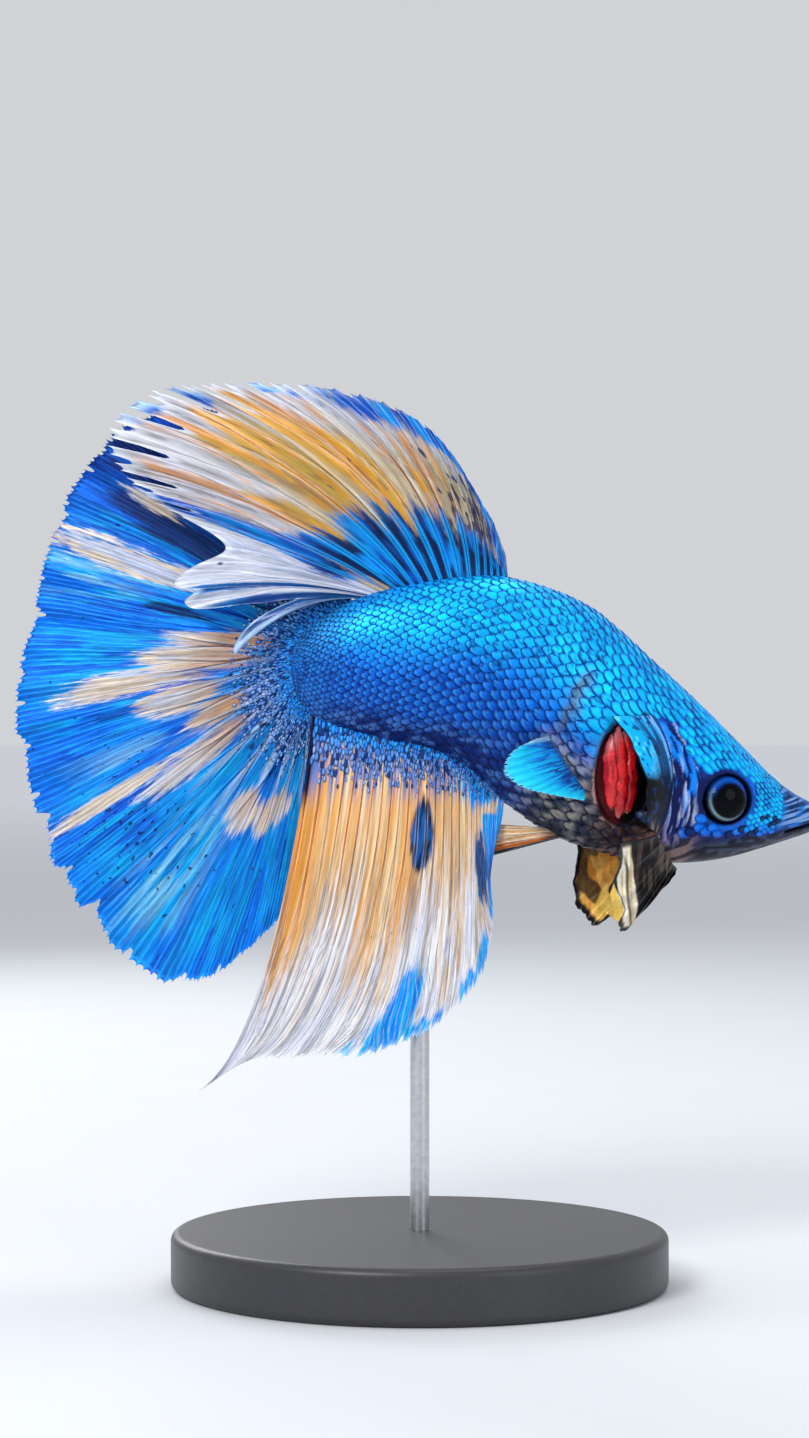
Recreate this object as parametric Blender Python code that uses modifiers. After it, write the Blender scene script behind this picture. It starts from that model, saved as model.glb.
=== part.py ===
"""Halfmoon betta fish, life size, flaring at a rival, held over a plain round base by one thin rod.

The fish is drawn straight first. A point is (x, side, z) in millimetres: x runs from the tail to the
snout, side is the distance from the fish's middle plane towards its right flank, and z is the height
over the floor. bent() then lays the straight fish along the curve of its body, seen from above. The
right flank faces -Y, the snout points to +X, and the origin is the centre of the base's underside.
"""

import math

import bmesh
import bpy
from mathutils import Vector

MM = 0.001
GAP = 0.3  # between two pieces that meet
FIN = 0.5  # thickness of every fin, gill cover and membrane

# The body's curve from above: a parabola from its straightest point to the tail, then straight on.
BODY_Y = -1.6
CURVE = 0.0105
STRAIGHTEST_X = 2.0
TAIL_X = -9.0

# The body's outline: top (x, z), bottom (x, z) and half width, from the tail to the snout.
STATIONS = (
    (-9.35, 45.6, -9.5, 44.8, 0.30),
    (-8.9, 46.9, -9.4, 43.7, 0.60),
    (-7.9, 48.0, -9.0, 42.4, 1.00),
    (-6.2, 49.0, -8.1, 41.3, 1.50),
    (-3.4, 50.2, -6.1, 40.3, 2.15),
    (0.7, 51.0, -2.5, 39.4, 2.75),
    (4.3, 51.4, 0.9, 38.7, 3.25),
    (7.2, 51.1, 3.5, 37.3, 3.55),
    (10.1, 50.2, 6.2, 34.9, 3.75),
    (12.2, 49.2, 9.4, 32.7, 3.85),
    (13.6, 48.2, 12.2, 31.6, 3.85),
    (16.7, 45.4, 16.0, 30.6, 3.70),
    (20.0, 42.4, 19.3, 30.4, 3.40),
    (22.9, 39.6, 22.3, 30.7, 2.90),
    (25.4, 37.2, 24.8, 31.3, 2.30),
    (27.3, 35.8, 26.9, 31.9, 1.80),
    (28.8, 35.0, 28.6, 32.4, 1.35),
    (29.8, 34.5, 29.7, 32.9, 0.90),
    (30.3, 33.9, 30.3, 33.5, 0.40),
)
LEAN_POWER = 2.5  # how soon a median fin leans to its side, above its base
WAVE_FADE = 0.25  # share of a fin at each end over which its waves fade out
BELLY_TAPER = 0.10  # how much wider the back is than the belly
RING_POINTS = 24
TAIL_STEM_ENDS = 4.0  # the cuts between tail stem, trunk and head, counted in stations
TRUNK_ENDS = 9.6

# The median fins as key rays: share of the base, angle it leaves at, tip x, tip z and tip side.
DORSAL_BASE = (-6.75, -3.9)
DORSAL_RAYS = (
    (0.00, 98, 6.15, 52.9, 0.2),
    (0.06, 96, 5.25, 55.2, 0.2),
    (0.12, 92, 4.0, 57.4, 0.2),
    (0.18, 88, 2.4, 60.0, 0.3),
    (0.25, 91, 0.2, 62.3, 0.4),
    (0.33, 97, -3.2, 64.1, 0.6),
    (0.41, 102, -7.4, 65.1, 0.9),
    (0.49, 109, -11.7, 65.4, 1.3),
    (0.57, 116, -16.0, 65.3, 1.8),
    (0.65, 124, -19.6, 64.7, 2.3),
    (0.72, 133, -21.9, 62.4, 2.7),
    (0.79, 142, -21.4, 59.4, 2.8),
    (0.85, 150, -19.0, 56.9, 2.7),
    (0.90, 158, -15.0, 54.2, 2.2),
    (0.94, 163, -17.2, 50.9, 2.4),
    (0.97, 168, -16.2, 49.0, 2.3),
    (1.00, 174, -12.8, 45.6, 2.2),
)
CAUDAL_BASE = (-3.2, 2.8)
CAUDAL_RAYS = (
    (0.00, 100, -8.3, 61.6, -0.4),
    (0.07, 108, -12.6, 63.3, -0.4),
    (0.14, 116, -17.6, 63.8, -0.4),
    (0.21, 126, -21.7, 62.6, -0.4),
    (0.29, 137, -24.9, 59.9, -0.5),
    (0.37, 150, -26.9, 56.2, -0.5),
    (0.44, 162, -28.1, 52.2, -0.5),
    (0.51, 174, -29.2, 47.8, -0.5),
    (0.58, 186, -30.2, 43.0, -0.5),
    (0.65, 198, -29.8, 38.2, -0.5),
    (0.72, 211, -28.3, 32.6, -0.5),
    (0.79, 221, -26.6, 28.9, -0.5),
    (0.86, 235, -23.4, 24.2, -0.4),
    (0.92, 247, -17.6, 21.3, -0.4),
    (0.96, 255, -13.4, 23.3, -0.4),
    (1.00, 266, -9.8, 27.0, -0.4),
)
ANAL_BASE = (7.85, 3.55)
ANAL_KNEES = (0.62, 0.85)  # the rear rays run straight for longer and then sweep back
ANAL_RAYS = (
    (0.00, 266, 5.45, 32.4, 0.6),
    (0.05, 264, 5.0, 29.6, 1.0),
    (0.10, 264, 5.2, 26.4, 1.3),
    (0.16, 268, 4.6, 23.2, 1.5),
    (0.23, 271, 3.2, 21.0, 1.6),
    (0.31, 271, 1.3, 19.0, 1.5),
    (0.40, 270, -1.4, 17.6, 1.5),
    (0.49, 269, -4.2, 16.7, 1.5),
    (0.58, 268, -7.0, 16.8, 1.5),
    (0.67, 267, -9.3, 16.5, 1.6),
    (0.77, 266, -11.4, 16.5, 1.7),
    (0.88, 265, -13.2, 15.7, 1.8),
    (1.00, 264, -15.7, 14.0, 2.0),
)

# The paired pieces, given for the right flank: inner edge and outer edge, as (x, side, z).
PECTORAL_BASE = ((8.7, 39.8), (9.9, 37.9), (11.2, 35.9))
PECTORAL_EDGE = (
    (7.6, 4.9, 39.6),
    (5.9, 6.2, 38.7),
    (5.3, 6.9, 37.3),
    (6.4, 6.9, 36.2),
    (8.1, 6.2, 35.7),
    (10.7, 5.0, 35.2),
)
PELVIC_BASE = ((9.4, 0.9, 32.0), (8.5, 0.9, 32.7))
PELVIC_EDGE = ((3.4, 0.8, 30.6), (2.0, 0.9, 31.6), (1.9, 0.8, 33.6))
PELVIC_LEAN = -2.3  # both trail towards the left flank, behind the anal fin
GILL_COVER_HINGE = ((15.5, 41.3), (16.4, 39.2), (16.8, 36.7), (16.6, 34.2), (16.2, 32.6))
GILL_COVER_EDGE = (
    (12.6, 4.6, 41.2),
    (13.6, 5.5, 39.6),
    (13.9, 6.5, 37.8),
    (14.3, 7.0, 36.1),
    (14.3, 6.7, 34.6),
    (14.6, 5.6, 33.3),
)
GILL_COVER_BULGE = 0.5
BEARD_BASE = ((18.4, 0.7, 29.7), (17.5, 2.0, 30.2), (16.6, 3.3, 31.1), (15.6, 4.6, 32.3))
BEARD_EDGE = (
    (17.2, 1.3, 28.8),
    (15.4, 2.4, 27.2),
    (13.6, 3.4, 25.7),
    (12.4, 4.2, 26.6),
    (12.2, 5.0, 29.2),
    (12.9, 5.7, 32.2),
)
BEARD_BULGE = 0.35

# Round pieces: centre (x, side, z) and half sizes (along, across, up).
EYE_CENTRE = (21.2, 2.45, 35.2)
EYE_HALF = (1.70, 1.15, 1.70)
RECESS_CENTRE = (13.9, 4.2, 37.1)
RECESS_HALF = (2.50, 2.00, 4.40)
GILL_CENTRE = (13.5, 3.50, 37.2)
GILL_HALF = (1.40, 0.75, 3.35)

# The mouth: a flat slit from the snout back to its corner, then down to the throat.
MOUTH_TIP = (32.0, 34.10)
MOUTH_CORNER = (26.2, 32.75)
THROAT_CUT = (25.0, 28.0)

BASE_RADIUS = 18.0
BASE_HEIGHT = 4.0
BASE_EDGE = 0.6
ROD_RADIUS = 0.7
ROD_TOP = 38.7


def clear_scene():
    for obj in list(bpy.data.objects):
        bpy.data.objects.remove(obj, do_unlink=True)


def collection(name):
    made = bpy.data.collections.new(name)
    bpy.context.scene.collection.children.link(made)
    return made


def material(name, colour, roughness, metallic=0.0):
    made = bpy.data.materials.new(name)
    made.diffuse_color = (*colour, 1.0)
    made.use_nodes = True
    shader = made.node_tree.nodes["Principled BSDF"]
    shader.inputs["Base Color"].default_value = (*colour, 1.0)
    shader.inputs["Roughness"].default_value = roughness
    shader.inputs["Metallic"].default_value = metallic
    return made


def heading(x):
    """Slope of the body's curve at x, seen from above."""
    return 2 * CURVE * (max(x, TAIL_X) - STRAIGHTEST_X)


def bent(x, side, z):
    """The place in the world, in metres, of a point of the straight fish."""
    at = max(x, TAIL_X)
    y = BODY_Y + CURVE * (at - STRAIGHTEST_X) ** 2 + heading(at) * (x - at)
    turn = math.atan(heading(x))
    return Vector((x + side * math.sin(turn), y - side * math.cos(turn), z)) * MM


def smooth(rows, t):
    """The row at t on a Catmull-Rom curve through the rows, where row number i is at t = i."""
    i = min(max(int(t), 0), len(rows) - 2)
    f = t - i
    before, first, second, after = (rows[min(max(i + k, 0), len(rows) - 1)] for k in (-1, 0, 1, 2))
    return [
        0.5 * (2 * b + (c - a) * f + (2 * a - 5 * b + 4 * c - d) * f**2 + (3 * b - 3 * c + d - a) * f**3)
        for a, b, c, d in zip(before, first, second, after)
    ]


def spread(rows, count):
    """count rows, evenly spaced in t, on the curve through the rows."""
    return [smooth(rows, (len(rows) - 1) * i / (count - 1)) for i in range(count)]


def along(points, share):
    """The point at that share of a broken line's length."""
    steps = [math.dist(a, b) for a, b in zip(points, points[1:])]
    left = share * sum(steps)
    for start, end, step in zip(points, points[1:], steps):
        if left <= step:
            return [a + (b - a) * left / step for a, b in zip(start, end)]
        left -= step
    return list(points[-1])


def ring(t):
    """One cross-section of the body: an oval from top to bottom, a little wider above its middle."""
    top_x, top_z, low_x, low_z, half_width = smooth(STATIONS, t)
    points = []
    for i in range(RING_POINTS):
        angle = 2 * math.pi * i / RING_POINTS
        up = 0.5 + 0.5 * math.sin(angle)
        side = half_width * math.cos(angle) * (1 + BELLY_TAPER * math.sin(angle))
        points.append((low_x + (top_x - low_x) * up, side, low_z + (top_z - low_z) * up))
    return points


def flank(x, z):
    """Half width of the body at (x, z), found on the cross-section that passes through that point."""
    low, high = 0.0, len(STATIONS) - 1.0
    for _ in range(40):
        t = (low + high) / 2
        top_x, top_z, low_x, low_z, half_width = smooth(STATIONS, t)
        ahead = (x - low_x) * (top_z - low_z) - (z - low_z) * (top_x - low_x)
        if ahead > 0:
            low = t
        else:
            high = t
    height = 2 * (z - low_z) / (top_z - low_z) - 1
    return half_width * math.sqrt(max(1 - height**2, 0)) * (1 + BELLY_TAPER * height)


def rim(position):
    """A point just off the body's edge: -t is on the back at station t, +t on the belly."""
    def edge(at):
        row = smooth(STATIONS, abs(at))
        return row[0:2] if at < 0 else row[2:4]

    x, z = edge(position)
    ahead = edge(position + 0.05)
    dx, dz = ahead[0] - x, ahead[1] - z
    length = math.hypot(dx, dz)
    return [x + GAP * dz / length, z - GAP * dx / length]


def rim_line(start, end):
    """The line along the body's edge from one position to another, in small steps."""
    count = 24
    spots = [start + (end - start) * i / count for i in range(count + 1)]
    return [rim(spot) for spot in spots if abs(spot) > 0.05]


def ray_grid(base, rays, columns, rows, waves, wave_height, knees=(0.5, 0.5)):
    """A fin as a grid of (x, side, z), from its base to its margin, with soft waves at the margin.

    A ray bends towards its tip at its knee, a share of its length. Knees are those of the first and last ray.
    The waves fade out over the first and last rays, where the rays lie close together.
    """
    grid = []
    for i in range(columns + 1):
        c = i / columns
        swing = wave_height * min(1, c / WAVE_FADE, (1 - c) / WAVE_FADE) * math.sin(2 * math.pi * waves * c)
        share, angle, tip_x, tip_z, tip_side = smooth(rays, c * (len(rays) - 1))
        x, z = along(base, min(max(share, 0), 1))
        reach = (knees[0] + (knees[1] - knees[0]) * c) * math.hypot(tip_x - x, tip_z - z)
        knee_x = x + reach * math.cos(math.radians(angle))
        knee_z = z + reach * math.sin(math.radians(angle))
        line = []
        for j in range(rows + 1):
            v = j / rows
            side = tip_side * (1 - (1 - v) ** LEAN_POWER) + swing * v**1.5
            line.append(
                (
                    (1 - v) ** 2 * x + 2 * v * (1 - v) * knee_x + v**2 * tip_x,
                    side,
                    (1 - v) ** 2 * z + 2 * v * (1 - v) * knee_z + v**2 * tip_z,
                )
            )
        grid.append(line)
    return grid


def patch_grid(inner, outer, columns, rows, bulge=0.0):
    """A membrane between two edges as a grid of (x, side, z), bulging away from the body."""
    grid = []
    for near, far in zip(spread(inner, columns + 1), spread(outer, columns + 1)):
        line = []
        for j in range(rows + 1):
            v = j / rows
            x, side, z = (a + (b - a) * v for a, b in zip(near, far))
            line.append((x, side + bulge * 4 * v * (1 - v), z))
        grid.append(line)
    return grid


def mirrored(grid):
    return [[(x, -side, z) for x, side, z in line] for line in grid]


def leaning(grid, lean):
    """The same grid with its outer edge moved sideways."""
    last = len(grid[0]) - 1
    return [[(x, side + lean * j / last, z) for j, (x, side, z) in enumerate(line)] for line in grid]


def link_mesh(name, mesh, where, finish):
    mesh.materials.append(finish)
    obj = bpy.data.objects.new(name, mesh)
    where.objects.link(obj)
    return obj


def sheet(name, grid, where, finish):
    """A thin solid on a grid of fish points: an open surface with Solidify."""
    build = bmesh.new()
    lines = [[build.verts.new(bent(*point)) for point in line] for line in grid]
    for near, far in zip(lines, lines[1:]):
        for j in range(len(near) - 1):
            build.faces.new((near[j], near[j + 1], far[j + 1], far[j]))
    mesh = bpy.data.meshes.new(name)
    build.to_mesh(mesh)
    build.free()
    obj = link_mesh(name, mesh, where, finish)
    thick = obj.modifiers.new("thickness", "SOLIDIFY")
    thick.thickness = FIN * MM
    thick.offset = 0.0
    return obj


def loft(name, first, last, where, finish):
    """The body between two stations, closed at both ends."""
    count = max(2, round(2 * (last - first)) + 1)
    build = bmesh.new()
    rings = []
    for i in range(count):
        t = first + (last - first) * i / (count - 1)
        rings.append([build.verts.new(bent(*point)) for point in ring(t)])
    for back, front in zip(rings, rings[1:]):
        for i in range(RING_POINTS):
            j = (i + 1) % RING_POINTS
            build.faces.new((back[i], back[j], front[j], front[i]))
    build.faces.new(rings[0])
    build.faces.new(reversed(rings[-1]))
    bmesh.ops.recalc_face_normals(build, faces=build.faces)
    mesh = bpy.data.meshes.new(name)
    build.to_mesh(mesh)
    build.free()
    mesh.shade_smooth()
    mesh.set_sharp_from_angle(angle=math.radians(50))
    return link_mesh(name, mesh, where, finish)


def station_gap(t):
    """How much further along, in stations, the next ring lies one gap away."""
    here, there = smooth(STATIONS, t), smooth(STATIONS, t + 0.1)
    closest = min(math.dist(here[0:2], there[0:2]), math.dist(here[2:4], there[2:4]))
    return 0.1 * GAP / closest


def ball(name, centre, half, where, finish, segments=16):
    """An ellipsoid that faces squarely out of the flank."""
    build = bmesh.new()
    bmesh.ops.create_uvsphere(build, u_segments=segments, v_segments=segments // 2 + 2, radius=MM)
    bmesh.ops.scale(build, vec=half, verts=build.verts)
    mesh = bpy.data.meshes.new(name)
    build.to_mesh(mesh)
    build.free()
    mesh.shade_smooth()
    obj = link_mesh(name, mesh, where, finish)
    obj.location = bent(*centre)
    obj.rotation_euler.z = math.atan(heading(centre[0]))
    return obj


def cylinder(name, radius, bottom, top, segments, where, finish):
    """An upright round bar, rod or disc on the origin's axis."""
    build = bmesh.new()
    bmesh.ops.create_cone(
        build,
        cap_ends=True,
        segments=segments,
        radius1=radius * MM,
        radius2=radius * MM,
        depth=(top - bottom) * MM,
    )
    mesh = bpy.data.meshes.new(name)
    build.to_mesh(mesh)
    build.free()
    mesh.shade_smooth()
    mesh.set_sharp_from_angle(angle=math.radians(40))
    obj = link_mesh(name, mesh, where, finish)
    obj.location.z = (bottom + top) / 2 * MM
    return obj


def hidden(obj):
    obj.hide_render = True
    obj.display_type = "WIRE"
    return obj


def boolean(obj, operation, other):
    cut = obj.modifiers.new(other.name, "BOOLEAN")
    cut.operation = operation
    cut.object = other
    cut.solver = "EXACT"


def mouth_block(name, inset, where, finish):
    """The space in front of and below the mouth slit, drawn in by inset on its two cut faces."""
    corner_x, corner_z = MOUTH_CORNER
    tip_x, tip_z = MOUTH_TIP
    low_x, low_z = THROAT_CUT
    outline = (
        (corner_x + inset, corner_z - inset),
        (tip_x, tip_z - inset),
        (tip_x, low_z),
        (low_x + inset, low_z),
    )
    build = bmesh.new()
    verts = [build.verts.new(bent(x, -6, z)) for x, z in outline]
    face = build.faces.new(verts)
    pulled = bmesh.ops.extrude_face_region(build, geom=[face])["geom"]
    for vert in (item for item in pulled if isinstance(item, bmesh.types.BMVert)):
        x, z = outline[min(range(4), key=lambda i: (bent(outline[i][0], -6, outline[i][1]) - vert.co).length)]
        vert.co = bent(x, 6, z)
    bmesh.ops.recalc_face_normals(build, faces=build.faces)
    mesh = bpy.data.meshes.new(name)
    build.to_mesh(mesh)
    build.free()
    return hidden(link_mesh(name, mesh, where, finish))


def make_body(fish, cutters, skin, jaw_skin):
    """Tail stem, trunk, head and lower jaw."""
    last = len(STATIONS) - 1
    loft("tail_stem", 0, TAIL_STEM_ENDS, fish, skin)
    loft("trunk", TAIL_STEM_ENDS + station_gap(TAIL_STEM_ENDS), TRUNK_ENDS, fish, skin)
    head_starts = TRUNK_ENDS + station_gap(TRUNK_ENDS)
    head = loft("head", head_starts, last, fish, skin)
    jaw = loft("lower_jaw", head_starts, last, fish, jaw_skin)
    boolean(head, "DIFFERENCE", mouth_block("mouth_cut", 0.0, cutters, skin))
    boolean(jaw, "INTERSECT", mouth_block("jaw_space", GAP, cutters, skin))
    for hand, sign in (("right", 1), ("left", -1)):
        x, side, z = EYE_CENTRE
        socket_half = [half + GAP for half in EYE_HALF]
        socket = ball(f"socket_{hand}", (x, sign * side, z), socket_half, cutters, skin)
        boolean(head, "DIFFERENCE", hidden(socket))
        x, side, z = RECESS_CENTRE
        recess = ball(f"recess_{hand}", (x, sign * side, z), RECESS_HALF, cutters, skin)
        boolean(head, "DIFFERENCE", hidden(recess))


def make_median_fins(fish, finishes):
    """Dorsal, caudal and anal fin, each on the body's edge."""
    dorsal = ray_grid(rim_line(*DORSAL_BASE), DORSAL_RAYS, 32, 8, 5, 0.25)
    sheet("dorsal_fin", dorsal, fish, finishes["dorsal_fin"])
    caudal = ray_grid(rim_line(*CAUDAL_BASE), CAUDAL_RAYS, 36, 9, 6, 0.35)
    sheet("caudal_fin", caudal, fish, finishes["caudal_fin"])
    anal = ray_grid(rim_line(*ANAL_BASE), ANAL_RAYS, 26, 9, 4, 0.25, ANAL_KNEES)
    sheet("anal_fin", anal, fish, finishes["anal_fin"])


def off_flank(line):
    """The same line of (x, z) points, standing one gap off the flank as a sheet's middle."""
    return [(x, flank(x, z) + GAP + FIN / 2, z) for x, z in line]


def make_paired_pieces(fish, finishes):
    """Everything that the fish has once on each flank."""
    pectoral = patch_grid(off_flank(PECTORAL_BASE), PECTORAL_EDGE, 8, 5, 0.2)
    pelvic = patch_grid(PELVIC_BASE, PELVIC_EDGE, 3, 8, 0.2)
    cover = patch_grid(off_flank(GILL_COVER_HINGE), GILL_COVER_EDGE, 10, 6, GILL_COVER_BULGE)
    beard = patch_grid(BEARD_BASE, BEARD_EDGE, 10, 6, BEARD_BULGE)
    for hand, sign in (("right", 1), ("left", -1)):
        for kind, grid in (
            ("pectoral_fin", pectoral),
            ("pelvic_fin", pelvic),
            ("gill_cover", cover),
            ("beard", beard),
        ):
            turned = grid if sign == 1 else mirrored(grid)
            lean = PELVIC_LEAN if kind == "pelvic_fin" else 0.0
            sheet(f"{kind}_{hand}", leaning(turned, lean), fish, finishes[kind])
        for kind, (x, side, z), half in (
            ("eye", EYE_CENTRE, EYE_HALF),
            ("gill", GILL_CENTRE, GILL_HALF),
        ):
            ball(f"{kind}_{hand}", (x, sign * side, z), half, fish, finishes[kind])


def make_stand(fish, base_finish, rod_finish):
    base = cylinder("stand_base", BASE_RADIUS, 0, BASE_HEIGHT, 48, fish, base_finish)
    edge = base.modifiers.new("rounded edge", "BEVEL")
    edge.width = BASE_EDGE * MM
    edge.segments = 1
    edge.limit_method = "ANGLE"
    cylinder("stand_rod", ROD_RADIUS, BASE_HEIGHT + GAP, ROD_TOP, 16, fish, rod_finish)


def main():
    clear_scene()
    fish = collection("halfmoon_betta")
    cutters = collection("cutters")
    skin = material("body_skin", (0.02, 0.35, 0.85), 0.32)
    jaw_skin = material("jaw_skin", (0.02, 0.14, 0.35), 0.4)
    finishes = {
        "dorsal_fin": material("dorsal_fin", (0.85, 0.72, 0.55), 0.4),
        "caudal_fin": material("caudal_fin", (0.03, 0.30, 0.85), 0.38),
        "anal_fin": material("anal_fin", (0.90, 0.72, 0.50), 0.4),
        "pectoral_fin": material("pectoral_fin", (0.10, 0.60, 0.95), 0.35),
        "pelvic_fin": material("pelvic_fin", (0.90, 0.70, 0.45), 0.4),
        "gill_cover": material("gill_cover", (0.05, 0.45, 0.85), 0.3),
        "beard": material("beard", (0.12, 0.08, 0.07), 0.5),
        "eye": material("eye", (0.02, 0.03, 0.05), 0.08),
        "gill": material("gill", (0.65, 0.02, 0.04), 0.35),
    }
    make_body(fish, cutters, skin, jaw_skin)
    make_median_fins(fish, finishes)
    make_paired_pieces(fish, finishes)
    base_finish = material("stand_base", (0.05, 0.05, 0.055), 0.5)
    rod_finish = material("stand_rod", (0.62, 0.63, 0.65), 0.3, metallic=1.0)
    make_stand(fish, base_finish, rod_finish)


main()
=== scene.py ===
"""Halfmoon betta fish, flaring, life size: skin, scales, rayed fins, eyes and gills over the solids.

The fish is drawn straight first. A point is (x, side, z) in millimetres: x runs from the tail to the
snout, side is the distance from the middle plane towards the right flank, and z is the height over
the floor. bent() lays the straight fish along the curve of its body, seen from above. A fin's point
is also known by its ray coordinates: c runs across the rays and v along them, from base to margin.

A colour is (red, green, blue) in screen values from 0 to 255, until mix() or feed() makes it linear.
A marking is a share from 0 to 1, mostly step(from, to, place), and painted() lays one over another.
"""

import functools
import itertools
import math

import bpy
import numpy as np
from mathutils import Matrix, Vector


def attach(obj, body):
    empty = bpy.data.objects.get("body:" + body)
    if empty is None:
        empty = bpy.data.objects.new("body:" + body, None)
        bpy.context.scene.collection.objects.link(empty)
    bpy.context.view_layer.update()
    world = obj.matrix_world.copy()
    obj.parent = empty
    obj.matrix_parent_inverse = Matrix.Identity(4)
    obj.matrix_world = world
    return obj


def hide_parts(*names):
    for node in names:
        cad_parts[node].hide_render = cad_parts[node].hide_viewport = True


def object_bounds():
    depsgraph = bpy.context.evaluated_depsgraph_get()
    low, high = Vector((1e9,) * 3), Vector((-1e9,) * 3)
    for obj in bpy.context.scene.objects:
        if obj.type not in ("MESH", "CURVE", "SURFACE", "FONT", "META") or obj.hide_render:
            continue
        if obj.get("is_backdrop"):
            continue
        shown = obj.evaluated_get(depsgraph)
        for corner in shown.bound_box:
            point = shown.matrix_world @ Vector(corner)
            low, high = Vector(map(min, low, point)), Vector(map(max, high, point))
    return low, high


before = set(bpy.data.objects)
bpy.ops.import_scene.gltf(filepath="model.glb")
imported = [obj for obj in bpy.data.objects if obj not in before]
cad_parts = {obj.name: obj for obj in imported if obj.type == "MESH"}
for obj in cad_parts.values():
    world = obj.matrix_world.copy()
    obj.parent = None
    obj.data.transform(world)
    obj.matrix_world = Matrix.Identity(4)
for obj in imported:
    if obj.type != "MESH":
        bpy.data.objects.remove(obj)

solid_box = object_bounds()

MM = 0.001
ROOT = "root"
HANDS = (("right", 1), ("left", -1))

# The body's curve from above, and its outline: top (x, z), bottom (x, z), half width, tail to snout.
BODY_Y = -1.6
CURVE = 0.0105
STRAIGHTEST_X = 2.0
TAIL_X = -9.0
STATIONS = (
    (-9.35, 45.6, -9.5, 44.8, 0.30),
    (-8.9, 46.9, -9.4, 43.7, 0.60),
    (-7.9, 48.0, -9.0, 42.4, 1.00),
    (-6.2, 49.0, -8.1, 41.3, 1.50),
    (-3.4, 50.2, -6.1, 40.3, 2.15),
    (0.7, 51.0, -2.5, 39.4, 2.75),
    (4.3, 51.4, 0.9, 38.7, 3.25),
    (7.2, 51.1, 3.5, 37.3, 3.55),
    (10.1, 50.2, 6.2, 34.9, 3.75),
    (12.2, 49.2, 9.4, 32.7, 3.85),
    (13.6, 48.2, 12.2, 31.6, 3.85),
    (16.7, 45.4, 16.0, 30.6, 3.70),
    (20.0, 42.4, 19.3, 30.4, 3.40),
    (22.9, 39.6, 22.3, 30.7, 2.90),
    (25.4, 37.2, 24.8, 31.3, 2.30),
    (27.3, 35.8, 26.9, 31.9, 1.80),
    (28.8, 35.0, 28.6, 32.4, 1.35),
    (29.8, 34.5, 29.7, 32.9, 0.90),
    (30.3, 33.9, 30.3, 33.5, 0.40),
)
LAST = len(STATIONS) - 1
BELLY_TAPER = 0.10
SKIN_DEPTH = 0.12  # how far the skin lies inside the solids, under the scales
SKIN_RINGS = 400
SKIN_SPOKES = 228

# The head's features, on the right flank: (x, side, z) or (x, z).
EYE_CENTRE = (21.2, 2.45, 35.2)
EYE_HALF = (1.70, 1.15, 1.70)
EYE_SOCKET_DEPTH = 0.85
GILL_OPENING = (13.75, 37.1)
GILL_OPENING_HALF = (1.95, 3.85)
GILL_OPENING_DEPTH = 1.35
GILL_CENTRE = (13.5, 3.50, 37.2)
GILL_HALF = (1.40, 0.75, 3.35)
MOUTH_TIP = (30.3, 33.70)
MOUTH_CORNER = (26.2, 32.75)
NOSTRILS = ((25.7, 35.6, 0.17), (27.2, 34.9, 0.12))  # x, z, size
EYE_GRID = (96, 72)  # mesh points round the axis and along it
GILL_GRID = (180, 110)

# Scales.
SCALES_ROUND = 46  # in one ring round the body
SCALE_PITCH = 0.86  # distance between rings of scales, as a share of a scale's width
SCALE_POINTS = 7  # mesh points across a scale of the body, and of a fin's foot
SMALL_SCALE_POINTS = 5
SCALE_PATCH = 0.0015  # half the size of a scale on the bake map
SPLIT_X = 6.5  # between the front and the rear piece of scales

# The median fins as key rays: share of the base, angle it leaves at, tip x, tip z and tip side.
# A base is given by stations of the body: below 0 on the back, over 0 on the belly.
DORSAL_BASE = (-6.75, -3.9)
DORSAL_RAYS = (
    (0.00, 98, 6.15, 52.9, 0.2),
    (0.06, 96, 5.25, 55.2, 0.2),
    (0.12, 92, 4.0, 57.4, 0.2),
    (0.18, 88, 2.4, 60.0, 0.3),
    (0.25, 91, 0.2, 62.3, 0.4),
    (0.33, 97, -3.2, 64.1, 0.6),
    (0.41, 102, -7.4, 65.1, 0.9),
    (0.49, 109, -11.7, 65.4, 1.3),
    (0.57, 116, -16.0, 65.3, 1.8),
    (0.65, 124, -19.6, 64.7, 2.3),
    (0.72, 133, -21.9, 62.4, 2.7),
    (0.79, 142, -21.4, 59.4, 2.8),
    (0.85, 150, -19.0, 56.9, 2.7),
    (0.90, 158, -15.0, 54.2, 2.2),
    (0.94, 163, -17.2, 50.9, 2.4),
    (0.97, 168, -16.2, 49.0, 2.3),
    (1.00, 174, -12.8, 45.6, 2.2),
)
CAUDAL_BASE = (-3.45, 3.05)
CAUDAL_RAYS = (
    (0.00, 100, -8.3, 61.6, -0.4),
    (0.07, 108, -12.6, 63.3, -0.4),
    (0.14, 116, -17.6, 63.8, -0.4),
    (0.21, 126, -21.7, 62.6, -0.4),
    (0.29, 137, -24.9, 59.9, -0.5),
    (0.37, 150, -26.9, 56.2, -0.5),
    (0.44, 162, -28.1, 52.2, -0.5),
    (0.51, 174, -29.2, 47.8, -0.5),
    (0.58, 186, -30.2, 43.0, -0.5),
    (0.65, 198, -29.8, 38.2, -0.5),
    (0.72, 211, -28.3, 32.6, -0.5),
    (0.79, 221, -26.6, 28.9, -0.5),
    (0.86, 235, -23.4, 24.2, -0.4),
    (0.92, 247, -17.6, 21.3, -0.4),
    (0.96, 255, -13.4, 23.3, -0.4),
    (1.00, 266, -9.8, 27.0, -0.4),
)
ANAL_BASE = (7.85, 3.15)
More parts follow.
